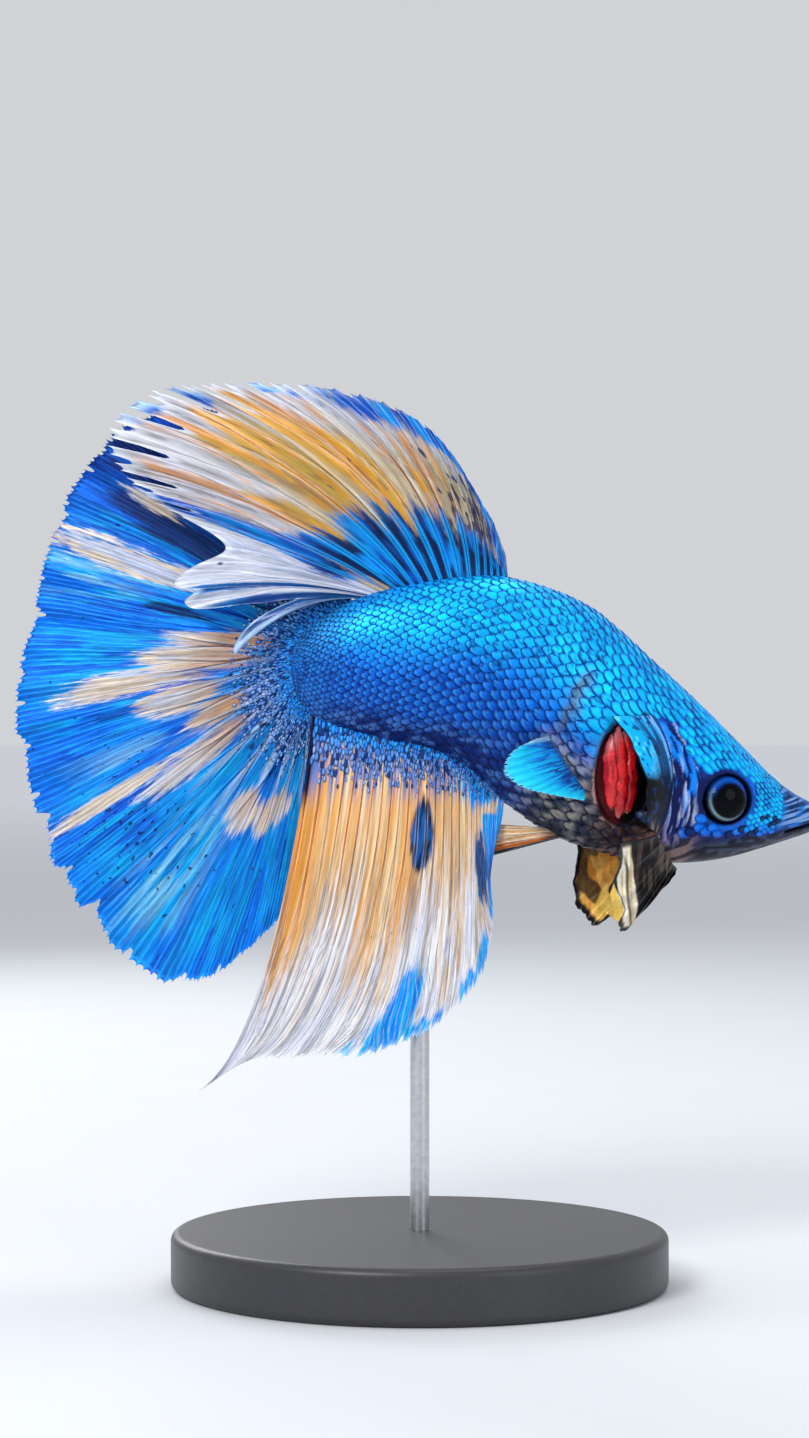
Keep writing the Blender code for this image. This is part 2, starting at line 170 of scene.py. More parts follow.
ANAL_RAYS = (
    (0.00, 266, 5.45, 32.4, 0.6),
    (0.05, 264, 5.0, 29.6, 1.0),
    (0.10, 264, 5.2, 26.4, 1.3),
    (0.16, 268, 4.6, 23.2, 1.5),
    (0.23, 271, 3.2, 21.0, 1.6),
    (0.31, 271, 1.3, 19.0, 1.5),
    (0.40, 270, -1.4, 17.6, 1.5),
    (0.49, 269, -4.2, 16.7, 1.5),
    (0.58, 268, -7.0, 16.8, 1.5),
    (0.67, 267, -9.3, 16.5, 1.6),
    (0.77, 266, -11.4, 16.5, 1.7),
    (0.88, 265, -13.2, 15.7, 1.8),
    (1.00, 264, -15.7, 14.0, 2.0),
)
# Base, key rays, waves across the fin, their height, and where the first and the last ray bend.
DORSAL = (DORSAL_BASE, DORSAL_RAYS, 5, 0.25, (0.5, 0.5))
CAUDAL = (CAUDAL_BASE, CAUDAL_RAYS, 6, 0.35, (0.5, 0.5))
ANAL = (ANAL_BASE, ANAL_RAYS, 4, 0.25, (0.62, 0.85))
LEAN_POWER = 2.5
WAVE_FADE = 0.25
BASE_SINK = -0.5  # a fin starts this far inside the body's edge
FOOT = 0.34  # extra half thickness of a fin at its base, and the share of a ray that it reaches
FOOT_LENGTH = 0.075
COLUMN_SHARES = (0.0, 0.5, 0.82, 1.0, 0.82, 0.5)  # closeness to the ray, from one membrane to the next
RAY_PROFILE = (0.0, 0.12, 0.62, 1.0, 0.62, 0.12)

# Markings of the fins: c, v, half width across the rays and half length along them.
DORSAL_BLUE = (
    (0.17, 0.93, 0.20, 0.11),
    (0.055, 0.70, 0.050, 0.34),
    (0.030, 0.42, 0.030, 0.34),
    (0.10, 0.10, 0.12, 0.24),
    (0.24, 0.14, 0.10, 0.20),
    (0.37, 0.15, 0.10, 0.19),
    (0.50, 0.11, 0.09, 0.17),
    (0.62, 0.13, 0.08, 0.17),
    (0.70, 0.20, 0.05, 0.17),
    (0.53, 0.95, 0.014, 0.09),
    (0.59, 0.97, 0.018, 0.07),
    (0.44, 0.97, 0.014, 0.05),
    (0.752, 0.64, 0.020, 0.30),
    (0.770, 0.32, 0.05, 0.16),
)
DORSAL_GOLD = (
    (0.56, 0.44, 0.040, 0.34),
    (0.49, 0.62, 0.020, 0.30),
    (0.655, 0.38, 0.024, 0.20),
    (0.44, 0.42, 0.018, 0.25),
    (0.34, 0.44, 0.015, 0.16),
)
DORSAL_OLIVE = ((0.545, 0.50, 0.022, 0.14), (0.60, 0.58, 0.018, 0.10), (0.28, 0.56, 0.02, 0.12))
CAUDAL_PEACH = (
    (0.362, 0.70, 0.022, 0.34),
    (0.345, 0.42, 0.014, 0.12),
    (0.272, 0.72, 0.010, 0.12),
    (0.455, 0.22, 0.034, 0.12),
    (0.500, 0.34, 0.042, 0.20),
    (0.543, 0.58, 0.021, 0.25),
    (0.590, 0.42, 0.028, 0.14),
    (0.640, 0.30, 0.030, 0.12),
    (0.705, 0.38, 0.024, 0.22),
    (0.675, 0.66, 0.011, 0.26),
    (0.905, 0.385, 0.055, 0.075),
    (0.840, 0.400, 0.030, 0.075),
)
CAUDAL_NAVY = ((0.290, 0.62, 0.022, 0.46), (0.225, 0.72, 0.040, 0.26), (0.415, 0.46, 0.010, 0.10))
CAUDAL_PALE = ((0.400, 0.80, 0.022, 0.22), (0.640, 0.62, 0.020, 0.20), (0.800, 0.62, 0.030, 0.25))
ANAL_BLUE = (
    (0.515, 0.97, 0.100, 0.10),
    (0.545, 0.86, 0.064, 0.14),
    (0.515, 0.74, 0.040, 0.14),
    (0.325, 0.95, 0.050, 0.09),
    (0.260, 0.90, 0.040, 0.10),
    (0.030, 0.55, 0.040, 0.70),
    (0.13, 0.80, 0.025, 0.20),
    (0.21, 0.06, 0.17, 0.09),
)
ANAL_SPOT = (0.548, 0.215, 0.047, 0.090)
# Where the caudal margin steps in between its scallops: c and depth; and how far a step reaches.
CAUDAL_STEPS = (
    (0.12, 0.020),
    (0.24, 0.025),
    (0.33, 0.030),
    (0.445, 0.020),
    (0.515, 0.025),
    (0.585, 0.020),
    (0.655, 0.045),
    (0.722, 0.030),
    (0.768, 0.055),
    (0.862, 0.035),
    (0.93, 0.020),
)
STEP_REACH = 0.030
STEP_EDGE = 0.003
# The deep clefts of the dorsal margin: depth, place across the rays and width.
DORSAL_SPLITS = ((0.55, 0.966, 0.0145), (0.13, 0.825, 0.026), (0.10, 0.906, 0.014))

# The paired pieces, given for the right flank: inner edge and outer edge, as (x, side, z) or (x, z).
PECTORAL_BASE = ((8.7, 39.8), (9.9, 37.9), (11.2, 35.9))
PECTORAL_EDGE = (
    (7.6, 4.9, 39.6),
    (5.9, 6.2, 38.7),
    (5.3, 6.9, 37.3),
    (6.4, 6.9, 36.2),
    (8.1, 6.2, 35.7),
    (10.7, 5.0, 35.2),
)
PELVIC_BASE = ((9.4, 0.9, 32.0), (8.5, 0.9, 32.7))
PELVIC_EDGE = ((3.4, 0.8, 30.6), (2.0, 0.9, 31.6), (1.9, 0.8, 33.6))
PELVIC_LEAN = -2.3
PAIRED_FIN_BULGE = 0.2
GILL_COVER_HINGE = ((15.5, 41.3), (16.4, 39.2), (16.8, 36.7), (16.6, 34.2), (16.2, 32.6))
GILL_COVER_EDGE = (
    (12.6, 4.6, 41.2),
    (13.6, 5.5, 39.6),
    (13.9, 6.5, 37.8),
    (14.3, 7.0, 36.1),
    (14.3, 6.7, 34.6),
    (14.6, 5.6, 33.3),
)
GILL_COVER_BULGE = 0.5
GILL_COVER_GRID = (170, 100)
BEARD_BASE = ((18.4, 0.7, 29.7), (17.5, 2.0, 30.2), (16.6, 3.3, 31.1), (15.6, 4.6, 32.3))
BEARD_EDGE = (
    (17.2, 1.3, 28.8),
    (15.4, 2.4, 27.2),
    (13.6, 3.4, 25.7),
    (12.4, 4.2, 26.6),
    (12.2, 5.0, 29.2),
    (12.9, 5.7, 32.2),
)
BEARD_BULGE = 0.35
BEARD_FOLDS = 6
BEARD_GRID = (190, 110)
FIN_SOLID = 0.5  # thickness of a membrane in the solids, and the gap between solids
SOLID_GAP = 0.3

# The stand: a disc with rounded edges and a rod that sits in a hole in it and enters the belly.
STAND_RADIUS = 18.0
STAND_HEIGHT = 4.0
STAND_EDGE = 0.6
ROD_RADIUS = 0.7
ROD_SOCKET = 2.0
ROD_TOP = 42.6
ROD_PLAY = 0.02
CENTRE_HOLE = 0.01  # radius at which a turned solid starts

FLOOR_RADIUS = 5000.0
FLOOR_CORNERS = 96
CAMERA_LENS = 85.0
CAMERA_X = -1.1
CAMERA_DISTANCE = 244.46  # from the fish's middle plane
CAMERA_HEIGHT = 41.0
LIGHT_TARGET = (0, 0, 40)
LIGHTS = (  # name, place, size, power and colour
    ("key", (-160, -260, 250), 150, 0.85, (1.0, 0.99, 0.97)),
    ("fill", (260, -240, 120), 220, 0.22, (0.94, 0.97, 1.0)),
    ("top", (40, 60, 330), 200, 0.35, (1, 1, 1)),
    ("rim", (-120, 260, 180), 160, 0.35, (1, 1, 1)),
)
SURROUNDINGS = {"Color": (0.88, 0.90, 0.93, 1), "Strength": 0.72}

CYAN = (0, 184, 255)
SKY = (0, 150, 248)
BLUE = (0, 114, 240)
DEEP = (0, 70, 186)
NAVY = (4, 24, 84)
BLACK = (6, 8, 16)
ICE = (150, 212, 255)
WHITE = (236, 232, 242)
ASH = (104, 98, 100)
SOOT = (34, 36, 50)
ROSE = (206, 160, 156)
CRIMSON = (190, 8, 24)
SCARLET = (238, 34, 40)

# Painted finishes: (roughness, specular, metallic, coat, coat roughness), the grain's (fineness,
# detail), its (darkest, lightest) shade, and its (depth in mm, strength) in the surface.
SKIN_GRAIN = ((3800.0, 3.0), (0.82, 1.16), (0.04, 0.6))
SCALE_GRAIN = ((5200.0, 2.0), (0.86, 1.14), (0.02, 0.5))
GRAINED = {
    "skin": ((0.38, 0.15, 0.20, 0.03, 0.12), *SKIN_GRAIN),
    "gill_cover": ((0.40, 0.15, 0.20, 0.03, 0.12), *SKIN_GRAIN),
    "beard": ((0.45, 0.15, 0.20, 0.10, 0.12), *SKIN_GRAIN),
    "scales": ((0.40, 0.14, 0.45, 0.02, 0.12), *SCALE_GRAIN),
    "caudal_fin_scales": ((0.40, 0.14, 0.25, 0.02, 0.12), *SCALE_GRAIN),
    "anal_fin_scales": ((0.40, 0.14, 0.25, 0.02, 0.12), *SCALE_GRAIN),
    "eye": ((0.05, 0.06, 0.0, 0.04, 0.02), (9000.0, 3.0), (0.85, 1.15), None),
    "gill": ((0.26, 0.35, 0.0, 0.3, 0.08), (4200.0, 4.0), (0.72, 1.2), (0.05, 0.8)),
}
# Fins: rays across the fin, colour of their crests, strength of those lines and of the painted shade in
# the grooves between them, (narrowness, shortness) of the dark specks, and unevenness of the colour.
RAYED = {
    "caudal_fin": (176, (70, 186, 255), 0.42, 0.40, (0.9, 34.0), 0.3),
    "dorsal_fin": (110, (224, 226, 240), 0.38, 0.34, (0.5, 9.0), 0.2),
    "anal_fin": (108, (248, 238, 226), 0.45, 0.22, (1.3, 26.0), 0.18),
    "pectoral_fin": (48, (110, 216, 255), 0.4, 0.08, (0.8, 14.0), 0.1),
    "pelvic_fin": (16, WHITE, 0.5, 0.35, (1.4, 8.0), 0.3),
}
# Plain finishes: colour, roughness, metallic, fineness and depth of the grain.
PLAIN = {
    "stand_base": ((46, 46, 50), 0.42, 0.0, 1500.0, 0.02),
    "stand_rod": ((196, 198, 202), 0.28, 1.0, 2500.0, 0.005),
}


# ---------------------------------------------------------------- numbers, curves and colours


def step(low, high, values):
    """0 before low, 1 past high, smooth between; low may be the greater one."""
    f = np.clip((values - low) / (high - low), 0, 1)
    return f * f * (3 - 2 * f)


def span(values, start, full, fading, end):
    """1 from full to fading, 0 before start and past end."""
    return step(start, full, values) * step(end, fading, values)


def bell(values, centre, width):
    return np.exp(-(((values - centre) / width) ** 2))


def stack(*axes):
    return np.stack(np.broadcast_arrays(*axes), -1)


def sideways(length):
    """A step of this length towards the right flank."""
    return stack(0 * length, length, 0 * length)


def running(steps):
    """The sum of the steps before each place, from 0 on."""
    return np.concatenate([[0], np.cumsum(steps)])


def gone_along(line):
    """The distance from a line's start to each of its points."""
    return running(np.linalg.norm(np.diff(line, axis=0), axis=-1))


def ink(red, green, blue):
    """The linear values that shaders use, of a colour in screen values."""
    values = np.array((red, green, blue)) / 255
    return np.where(values <= 0.04045, values / 12.92, ((values + 0.055) / 1.055) ** 2.4)


def mix(first, second, share):
    """Linear colours between two colours, each linear or a tuple of screen values."""
    first, second = (ink(*colour) if isinstance(colour, tuple) else colour for colour in (first, second))
    return first + (second - first) * np.asarray(share)[..., None]


def painted(colour, *coats):
    """The colour under a row of coats, each a colour and the share of it that shows."""
    for coat, share in coats:
        colour = mix(colour, coat, share)
    return colour


def smooth(rows, t):
    """The rows at t on a Catmull-Rom curve through the rows, where row number i is at t = i."""
    rows, t = np.asarray(rows, float), np.asarray(t, float)
    last = len(rows) - 1
    i = np.clip(np.floor(t).astype(int), 0, last - 1)
    f = (t - i)[..., None]
    a, b, c, d = (rows[np.clip(i + k, 0, last)] for k in (-1, 0, 1, 2))
    second, third = 2 * a - 5 * b + 4 * c - d, 3 * b - 3 * c + d - a
    return 0.5 * (2 * b + (c - a) * f + second * f**2 + third * f**3)


def lattice(cells, seed):
    """A random value from 0 to 1 for each cell, the same on every run."""
    mixed = np.full(cells.shape[:-1], seed * 7919 + 17, np.int64)
    for k in range(cells.shape[-1]):
        mixed = (mixed ^ (cells[..., k] * (73856093, 19349663, 83492791)[k])) & 0xFFFFFFF
        mixed = (mixed * 1103515 + 12345) & 0xFFFFFFF
        mixed = mixed ^ (mixed >> 9)
    return (mixed & 0xFFFF) / 0xFFFF


def noise(size, seed, *axes):
    """Smooth random values from 0 to 1 over two or three axes, changing over a distance of size."""
    spots = stack(*axes) / np.asarray(size, float)
    low = np.floor(spots).astype(np.int64)
    part = spots - low
    part = part * part * (3 - 2 * part)
    total = 0.0
    for corner in itertools.product((0, 1), repeat=spots.shape[-1]):
        share = np.prod(np.where(corner, part, 1 - part), -1)
        total = total + share * lattice(low + np.array(corner), seed)
    return total


def bent(points):
    """The places in the world, in millimetres, of points of the straight fish."""
    x, side, z = np.moveaxis(np.asarray(points, float), -1, 0)
    at = np.maximum(x, TAIL_X)
    slope = 2 * CURVE * (at - STRAIGHTEST_X)
    y = BODY_Y + CURVE * (at - STRAIGHTEST_X) ** 2 + slope * (x - at)
    turn = np.arctan(slope)
    return np.stack([x + side * np.sin(turn), y - side * np.cos(turn), z], -1)


# ---------------------------------------------------------------- materials


def feed(tree, slot, value):
    """Gives a node's input a value: another node's output, a number, or a colour in screen values."""
    if isinstance(value, bpy.types.NodeSocket):
        tree.links.new(value, slot)
    else:
        slot.default_value = (*ink(*value), 1) if isinstance(value, tuple) else value


def node(tree, kind, inputs=None, **settings):
    made = tree.nodes.new(kind)
    for key, value in settings.items():
        setattr(made, key, value)
    for key, value in (inputs or {}).items():
        feed(tree, made.inputs[key], value)
    return made


def new_material(name, roughness, specular=0.5, metallic=0.0, coat=0.0, coat_roughness=0.1):
    """(material, node tree, Principled node) of a fresh material."""
    made = bpy.data.materials.new(name)
    made.use_nodes = True
    shader = made.node_tree.nodes["Principled BSDF"]
    keys = ("Roughness", "Specular IOR Level", "Metallic", "Coat Weight", "Coat Roughness")
    for key, value in zip(keys, (roughness, specular, metallic, coat, coat_roughness)):
        shader.inputs[key].default_value = value
    return made, made.node_tree, shader


def attribute(tree, name, output="Fac"):
    return node(tree, "ShaderNodeAttribute", attribute_name=name).outputs[output]


def noise_node(tree, vector, scale, detail, rough=0.55):
    settings = {"Scale": scale, "Detail": detail, "Roughness": rough, "Vector": vector}
    return node(tree, "ShaderNodeTexNoise", settings).outputs["Fac"]


def maths(tree, operation, *values):
    """The output of a Math node whose inputs are sockets or plain numbers."""
    return node(tree, "ShaderNodeMath", dict(enumerate(values)), operation=operation).outputs["Value"]


def remap(tree, value, low, high, low_result=0.0, high_result=1.0, kind="SMOOTHSTEP"):
    inputs = {"Value": value, "From Min": low, "From Max": high}
    inputs.update({"To Min": low_result, "To Max": high_result})
    return node(tree, "ShaderNodeMapRange", inputs, interpolation_type=kind).outputs["Result"]


def blend(tree, share, first, second):
    """A colour between two colours."""
    made = node(tree, "ShaderNodeMix", {"Factor": share}, data_type="RGBA")
    slots = [item for item in made.inputs if item.type == "RGBA"]
    for slot, value in zip(slots, (first, second)):
        feed(tree, slot, value)
    return next(item for item in made.outputs if item.type == "RGBA")


def brighter(tree, colour, value, saturation=1.0):
    """The colour with its brightness multiplied by a socket's value."""
    inputs = {"Saturation": saturation, "Color": colour, "Value": value}
    return node(tree, "ShaderNodeHueSaturation", inputs).outputs["Color"]


def bump(tree, shader, height, distance, strength):
    inputs = {"Distance": distance * MM, "Strength": strength, "Height": height}
    feed(tree, shader.inputs["Normal"], node(tree, "ShaderNodeBump", inputs).outputs["Normal"])


def object_vector(tree):
    return node(tree, "ShaderNodeTexCoord").outputs["Object"]


def ray_vector(tree, across, along):
    """Coordinates that follow a fin's rays: long along them and narrow across."""
    joined = node(tree, "ShaderNodeCombineXYZ")
    for axis, key, size in (("X", "ray_c", across), ("Y", "ray_v", along)):
        feed(tree, joined.inputs[axis], maths(tree, "MULTIPLY", attribute(tree, key), size))
    return joined.outputs["Vector"]


def rayed_material(name):
    """Membrane with streaks along its rays.

    The second paint covers the first in ragged streaks. Rays are pale lines, with painted shade
    darkening the grooves between them, and specks are small dark marks, stretched along the rays.
    """
    rays, crest_colour, line, groove, specks, contrast = RAYED[name]
    made, tree, shader = new_material(name, 0.46, 0.2)
    wide = noise_node(tree, ray_vector(tree, rays * 0.8, 4.0), 1.0, 3.0, 0.6)
    fine = noise_node(tree, ray_vector(tree, rays * 2.6, 16.0), 1.0, 4.0, 0.6)
    cover, ridge, speck, gleam = (attribute(tree, key) for key in ("cover", "ridge", "speck", "gleam"))
    ragged = maths(tree, "MULTIPLY_ADD", wide, 0.9, -0.45)
    ragged = maths(tree, "ADD", ragged, maths(tree, "MULTIPLY_ADD", fine, 0.8, -0.40))
    share = remap(tree, maths(tree, "ADD", cover, ragged), 0.36, 0.64)
    colour = blend(tree, share, *(attribute(tree, key, "Color") for key in ("paint", "second")))
    broad = remap(tree, wide, 0.32, 0.68, 1 - contrast, 1 + contrast, "LINEAR")
    narrow = remap(tree, fine, 0.30, 0.70, 1 - contrast * 0.8, 1 + contrast * 0.8, "LINEAR")
    colour = brighter(tree, colour, maths(tree, "MULTIPLY", broad, narrow))
    crest = maths(tree, "POWER", ridge, 2.5)
    crest = maths(tree, "MULTIPLY", crest, remap(tree, fine, 0.38, 0.60, 0.25, 1.0))
    # Painted shade: the grooves between the rays are darkened, fading out towards the base.
    hollow = maths(tree, "SUBTRACT", 1.0, ridge)
    depth = maths(tree, "MULTIPLY", hollow, remap(tree, attribute(tree, "ray_v"), 0.0, 0.35))
    colour = brighter(tree, colour, maths(tree, "MULTIPLY_ADD", depth, -groove, 1.0), 1.05)
    colour = blend(tree, maths(tree, "MULTIPLY", crest, line), colour, crest_colour)
    dots = noise_node(tree, ray_vector(tree, rays * specks[0], specks[1]), 1.0, 1.0)
    dots = maths(tree, "ADD", dots, maths(tree, "MULTIPLY", speck, 0.36))
    bare = maths(tree, "MULTIPLY_ADD", share, -0.8, 0.85)
    dotted = maths(tree, "MULTIPLY", remap(tree, dots, 0.78, 0.86), bare)
    colour = blend(tree, dotted, colour, (4, 20, 70))
    feed(tree, shader.inputs["Base Color"], colour)
    feed(tree, shader.inputs["Metallic"], gleam)
    bump(tree, shader, fine, 0.06, 0.8)
    return made


def grained_material(name):
    """The painted colour under a fine grain, on wet skin, scales, eyes or gills."""
    surface, grain, shades, dents = GRAINED[name]
    made, tree, shader = new_material(name, *surface)
    fine = noise_node(tree, object_vector(tree), *grain)
    paint = attribute(tree, "paint", "Color")
    tint = brighter(tree, paint, remap(tree, fine, 0.3, 0.7, *shades, "LINEAR"))
    feed(tree, shader.inputs["Base Color"], tint)
    if dents:
        bump(tree, shader, fine, *dents)
    return made


def plain_material(name):
    """A plain finish with a slight grain in its colour and surface."""
    colour, roughness, metallic, fineness, depth = PLAIN[name]
    made, tree, shader = new_material(name, roughness, 0.5, metallic)
    grain = noise_node(tree, object_vector(tree), fineness, 5.0)
    ramp = node(tree, "ShaderNodeValToRGB", {"Fac": grain})
    for element, place, shade in zip(ramp.color_ramp.elements, (0.3, 0.7), (0.88, 1.12)):
        element.position = place
        element.color = (*np.minimum(ink(*colour) * shade, 1), 1)
    feed(tree, shader.inputs["Base Color"], ramp.outputs["Color"])
    bump(tree, shader, grain, depth, 0.6)
    return made


@functools.cache
def finish_for(kind):
    """The material of this kind of piece, made when it is first asked for."""
    for kinds, make in ((GRAINED, grained_material), (RAYED, rayed_material), (PLAIN, plain_material)):
        if kind in kinds:
            return make(kind)


# ---------------------------------------------------------------- meshes


def grid_faces(rows, columns, wrap=False):
    """Four-cornered faces of a grid of points, where a point's number is row * columns + column."""
    i, j = np.meshgrid(np.arange(rows - 1), np.arange(columns if wrap else columns - 1), indexing="ij")
    corner, after = i * columns + j, i * columns + (j + 1) % columns
    return np.stack([corner, after, after + columns, corner + columns], -1).reshape(-1, 4)


def add_object(name, data, place=(0, 0, 0)):
    """A new object in the scene, at a place in millimetres."""
    obj = bpy.data.objects.new(name, data)
    bpy.context.scene.collection.objects.link(obj)
    obj.location = [value * MM for value in place]
    return obj


def make_mesh(name, points, faces, finish, slot, uv, **layers):
    """A smooth-shaded piece from points in millimetres, riding on the root body.

    Each layer holds a number or a colour for every point.
    """
    points = np.reshape(points, (-1, 3))
    mesh = bpy.data.meshes.new(name)
    mesh.vertices.add(len(points))
    mesh.vertices.foreach_set("co", (np.asarray(points, np.float32) * MM).ravel())
    mesh.loops.add(faces.size)
    mesh.loops.foreach_set("vertex_index", faces.astype(np.int32).ravel())
    mesh.polygons.add(len(faces))
    mesh.polygons.foreach_set("loop_start", np.arange(0, faces.size, faces.shape[1], dtype=np.int32))
    mesh.update(calc_edges=True)
    mesh.shade_smooth()
    corners = np.reshape(uv, (-1, 2))[faces.ravel()]
    mesh.uv_layers.new(name="OFBake").data.foreach_set("uv", corners.astype(np.float32).ravel())
    for key, layer in layers.items():
        layer = np.reshape(layer, (len(points), -1)).astype(np.float32)
        if layer.shape[1] == 3:
            rgba = np.column_stack([np.clip(layer, 0, 1), np.ones(len(points), np.float32)])
            colours = mesh.color_attributes.new(key, "FLOAT_COLOR", "POINT")
            colours.data.foreach_set("color", rgba.ravel())
        else:
            mesh.attributes.new(key, "FLOAT", "POINT").data.foreach_set("value", layer.ravel())
    mesh.validate()
    mesh.materials.append(finish_for(finish))
    obj = add_object(name, mesh)
    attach(obj, ROOT)
    return obj


def make_piece(name, points, faces, uv, **layers):
    """A piece that stands for the solid it is named after: eye_right_ball replaces eye_right."""
    replaced = name.rpartition("_")[0]
    slot = replaced.removesuffix("_right").removesuffix("_left")
    piece = make_mesh(name, points, faces, slot, slot, uv, **layers)
    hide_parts(replaced)


def make_sheet(name, middle, thick, u, v, hand=1, **layers):
    """A thin closed piece on both sides of its middle surface, a grid of points at (u, v).

    A layer holds a number, a colour or a grid of them, or a tuple of one for each side.
    """
    sides = [bent((middle + sideways(away)) * (1, hand, 1)) for away in (thick, -thick)]
    columns, rows = u.shape
    count = columns * rows
    front = grid_faces(columns, rows)
    number = np.arange(count).reshape(columns, rows)
    ring = np.concatenate([number[:, 0], number[-1, 1:], number[-2::-1, -1], number[0, -2:0:-1]])
    after = np.roll(ring, -1)
    rim = np.stack([ring, ring + count, after + count, after], -1)
    faces = np.concatenate([front, front[:, ::-1] + count, rim])
    uv = stack(np.linspace(0, 0.97, columns)[:, None], v * 0.47) + 0.01
    flat = {}
    for key, value in (layers | {"ray_c": u, "ray_v": v}).items():
        shape = (columns, rows, 3) if key in ("paint", "second") else (columns, rows)
        pair = value if isinstance(value, tuple) else (value, value)
        flat[key] = np.stack([np.broadcast_to(side, shape) for side in pair])
    make_piece(name, sides, faces, [uv, uv + (0, 0.5)], **flat)


def make_pair(kind, middle, thick, u, v, lean=0.0, **layers):
    """A sheet on the right and a mirrored one on the left; lean swings both towards the right."""
    for side, hand in HANDS:
        leant = middle + sideways(hand * lean * v)
        make_sheet(f"{kind}_{side}_skin", leant, thick, u, v, hand, **layers)


# ---------------------------------------------------------------- body surface


def rings(t, angle):
    """Straight-fish points of the skin at stations t and angles round the body (0: right flank)."""
    top_x, top_z, low_x, low_z, half_width = np.moveaxis(smooth(STATIONS, t), -1, 0)
    half_height = np.hypot(top_x - low_x, top_z - low_z) / 2
    snout = np.clip((t - (LAST - 0.9)) / 0.9, 0, 0.998)
    tail = np.clip((0.6 - t) / 0.6, 0, 0.998)
    closing = np.sqrt(1 - snout**2) * np.sqrt(1 - tail**2)
    tall = closing * np.maximum(1 - SKIN_DEPTH / half_height, 0.3)
    wide = closing * np.maximum(half_width - SKIN_DEPTH, 0.3 * half_width)
    up, out = np.sin(angle), np.cos(angle)
    x = (top_x + low_x) / 2 + (top_x - low_x) / 2 * up * tall
    z = (top_z + low_z) / 2 + (top_z - low_z) / 2 * up * tall
    side = wide * out * (1 + BELLY_TAPER * up)
    return stack(x, side + np.sign(out) * step(0.15, 0.55, np.abs(out)) * relief(x, z), z)


def middle_line(rows):
    """The centre (x, z) of each row of the body's outline."""
    return (rows[:, :2] + rows[:, 2:4]) / 2


def hinge_x(z):
    """Where the gill cover's hinge runs, at height z."""
    line = np.array(GILL_COVER_HINGE)[::-1]
    return np.interp(z, line[:, 1], line[:, 0])


def eye_distance(x, z):
    """1 at the rim of the eye, 0 at its middle."""
    return np.hypot(x - EYE_CENTRE[0], z - EYE_CENTRE[2]) / EYE_HALF[0]


def gill_distance(x, z):
    """1 at the rim of the gill opening, 0 at its middle."""
    ahead, above = x - GILL_OPENING[0], z - GILL_OPENING[1]
    return np.hypot(ahead / GILL_OPENING_HALF[0], above / GILL_OPENING_HALF[1])


def over_mouth(x, z):
    """Height over the line of the mouth."""
    slope = (MOUTH_TIP[1] - MOUTH_CORNER[1]) / (MOUTH_TIP[0] - MOUTH_CORNER[0])
    return z - MOUTH_CORNER[1] - slope * (x - MOUTH_CORNER[0])


def fold_width(z):
    """How far the loose skin of the cheek reaches ahead of the gill cover's hinge, at height z."""
    return 1.7 + 1.1 * span(z, 32.5, 33.8, 36.4, 38.6)


def cheek_fold(x, z):
    """The loose folds of skin in front of the gill cover: height from -1 to 1, and where they are."""
    ahead = x - hinge_x(z)
    where = step(-0.1, 0.3, ahead) * step(0.6, -0.4, ahead - fold_width(z))
    where = where * span(z, 31.2, 33, 40.2, 41.4)
    fanned = ahead + 0.13 * (z - 40)
    folds = 0.6 * noise((0.25, 1.3), 5, fanned, z) + 0.4 * noise((0.12, 0.55), 6, fanned, z)
    return 2 * step(0.32, 0.68, folds) - 1, where


def jaw_line(x):
    """Height of the border between the scaled cheek and the dark skin of the lower jaw."""
    return 32.25 + 0.12 * (x - 22)


def relief(x, z):
    """How far the skin stands out of, or sinks into, the plain oval of the head, at (x, z)."""
    eye, gill, mouth = eye_distance(x, z), gill_distance(x, z), over_mouth(x, z)
    fold, folded = cheek_fold(x, z)
    height = 0.13 * bell(eye, 1.26, 0.11) - EYE_SOCKET_DEPTH * step(1.10, 0.92, eye)
    height -= GILL_OPENING_DEPTH * step(1.0, 0.80, gill)
    height += 0.16 * bell(gill, 1.07, 0.07) * step(0.3, -0.6, x - GILL_OPENING[0])
    height += 0.10 * fold * folded
    height -= 0.30 * bell(mouth, 0, 0.09) * step(-0.3, 0.3, x - MOUTH_CORNER[0])
    height += 0.10 * (bell(mouth, 0.36, 0.18) + bell(mouth, -0.34, 0.18)) * step(27.0, 29.3, x)
    ridges = np.cos(2 * np.pi * mouth / 0.34)
    height += 0.035 * ridges * step(24.5, 26.0, x) * span(mouth, 0.3, 0.6, 1.5, 1.9)
    height -= 0.10 * bell(mouth, -0.75, 0.12) * span(x, 20.5, 22.0, 27, 28.5)
    for nose_x, nose_z, size in NOSTRILS:
        away = np.hypot(x - nose_x, z - nose_z) / size
        height += 0.05 * bell(away, 1.7, 0.45) - 0.16 * bell(away, 0, 1)
    return height


def skin_stations():
    """Stations at which the skin's rings lie, closer together on the head and at the snout."""
    t = np.linspace(0, LAST, 4000)
    middle = middle_line(smooth(STATIONS, t))
    x = middle[1:, 0]
    crowd = 1 + 1.3 * step(10, 15, x) + 1.2 * step(23, 27, x)
    gone = running(np.diff(gone_along(middle)) * crowd)
    return np.interp(np.linspace(0, gone[-1], SKIN_RINGS), gone, t)


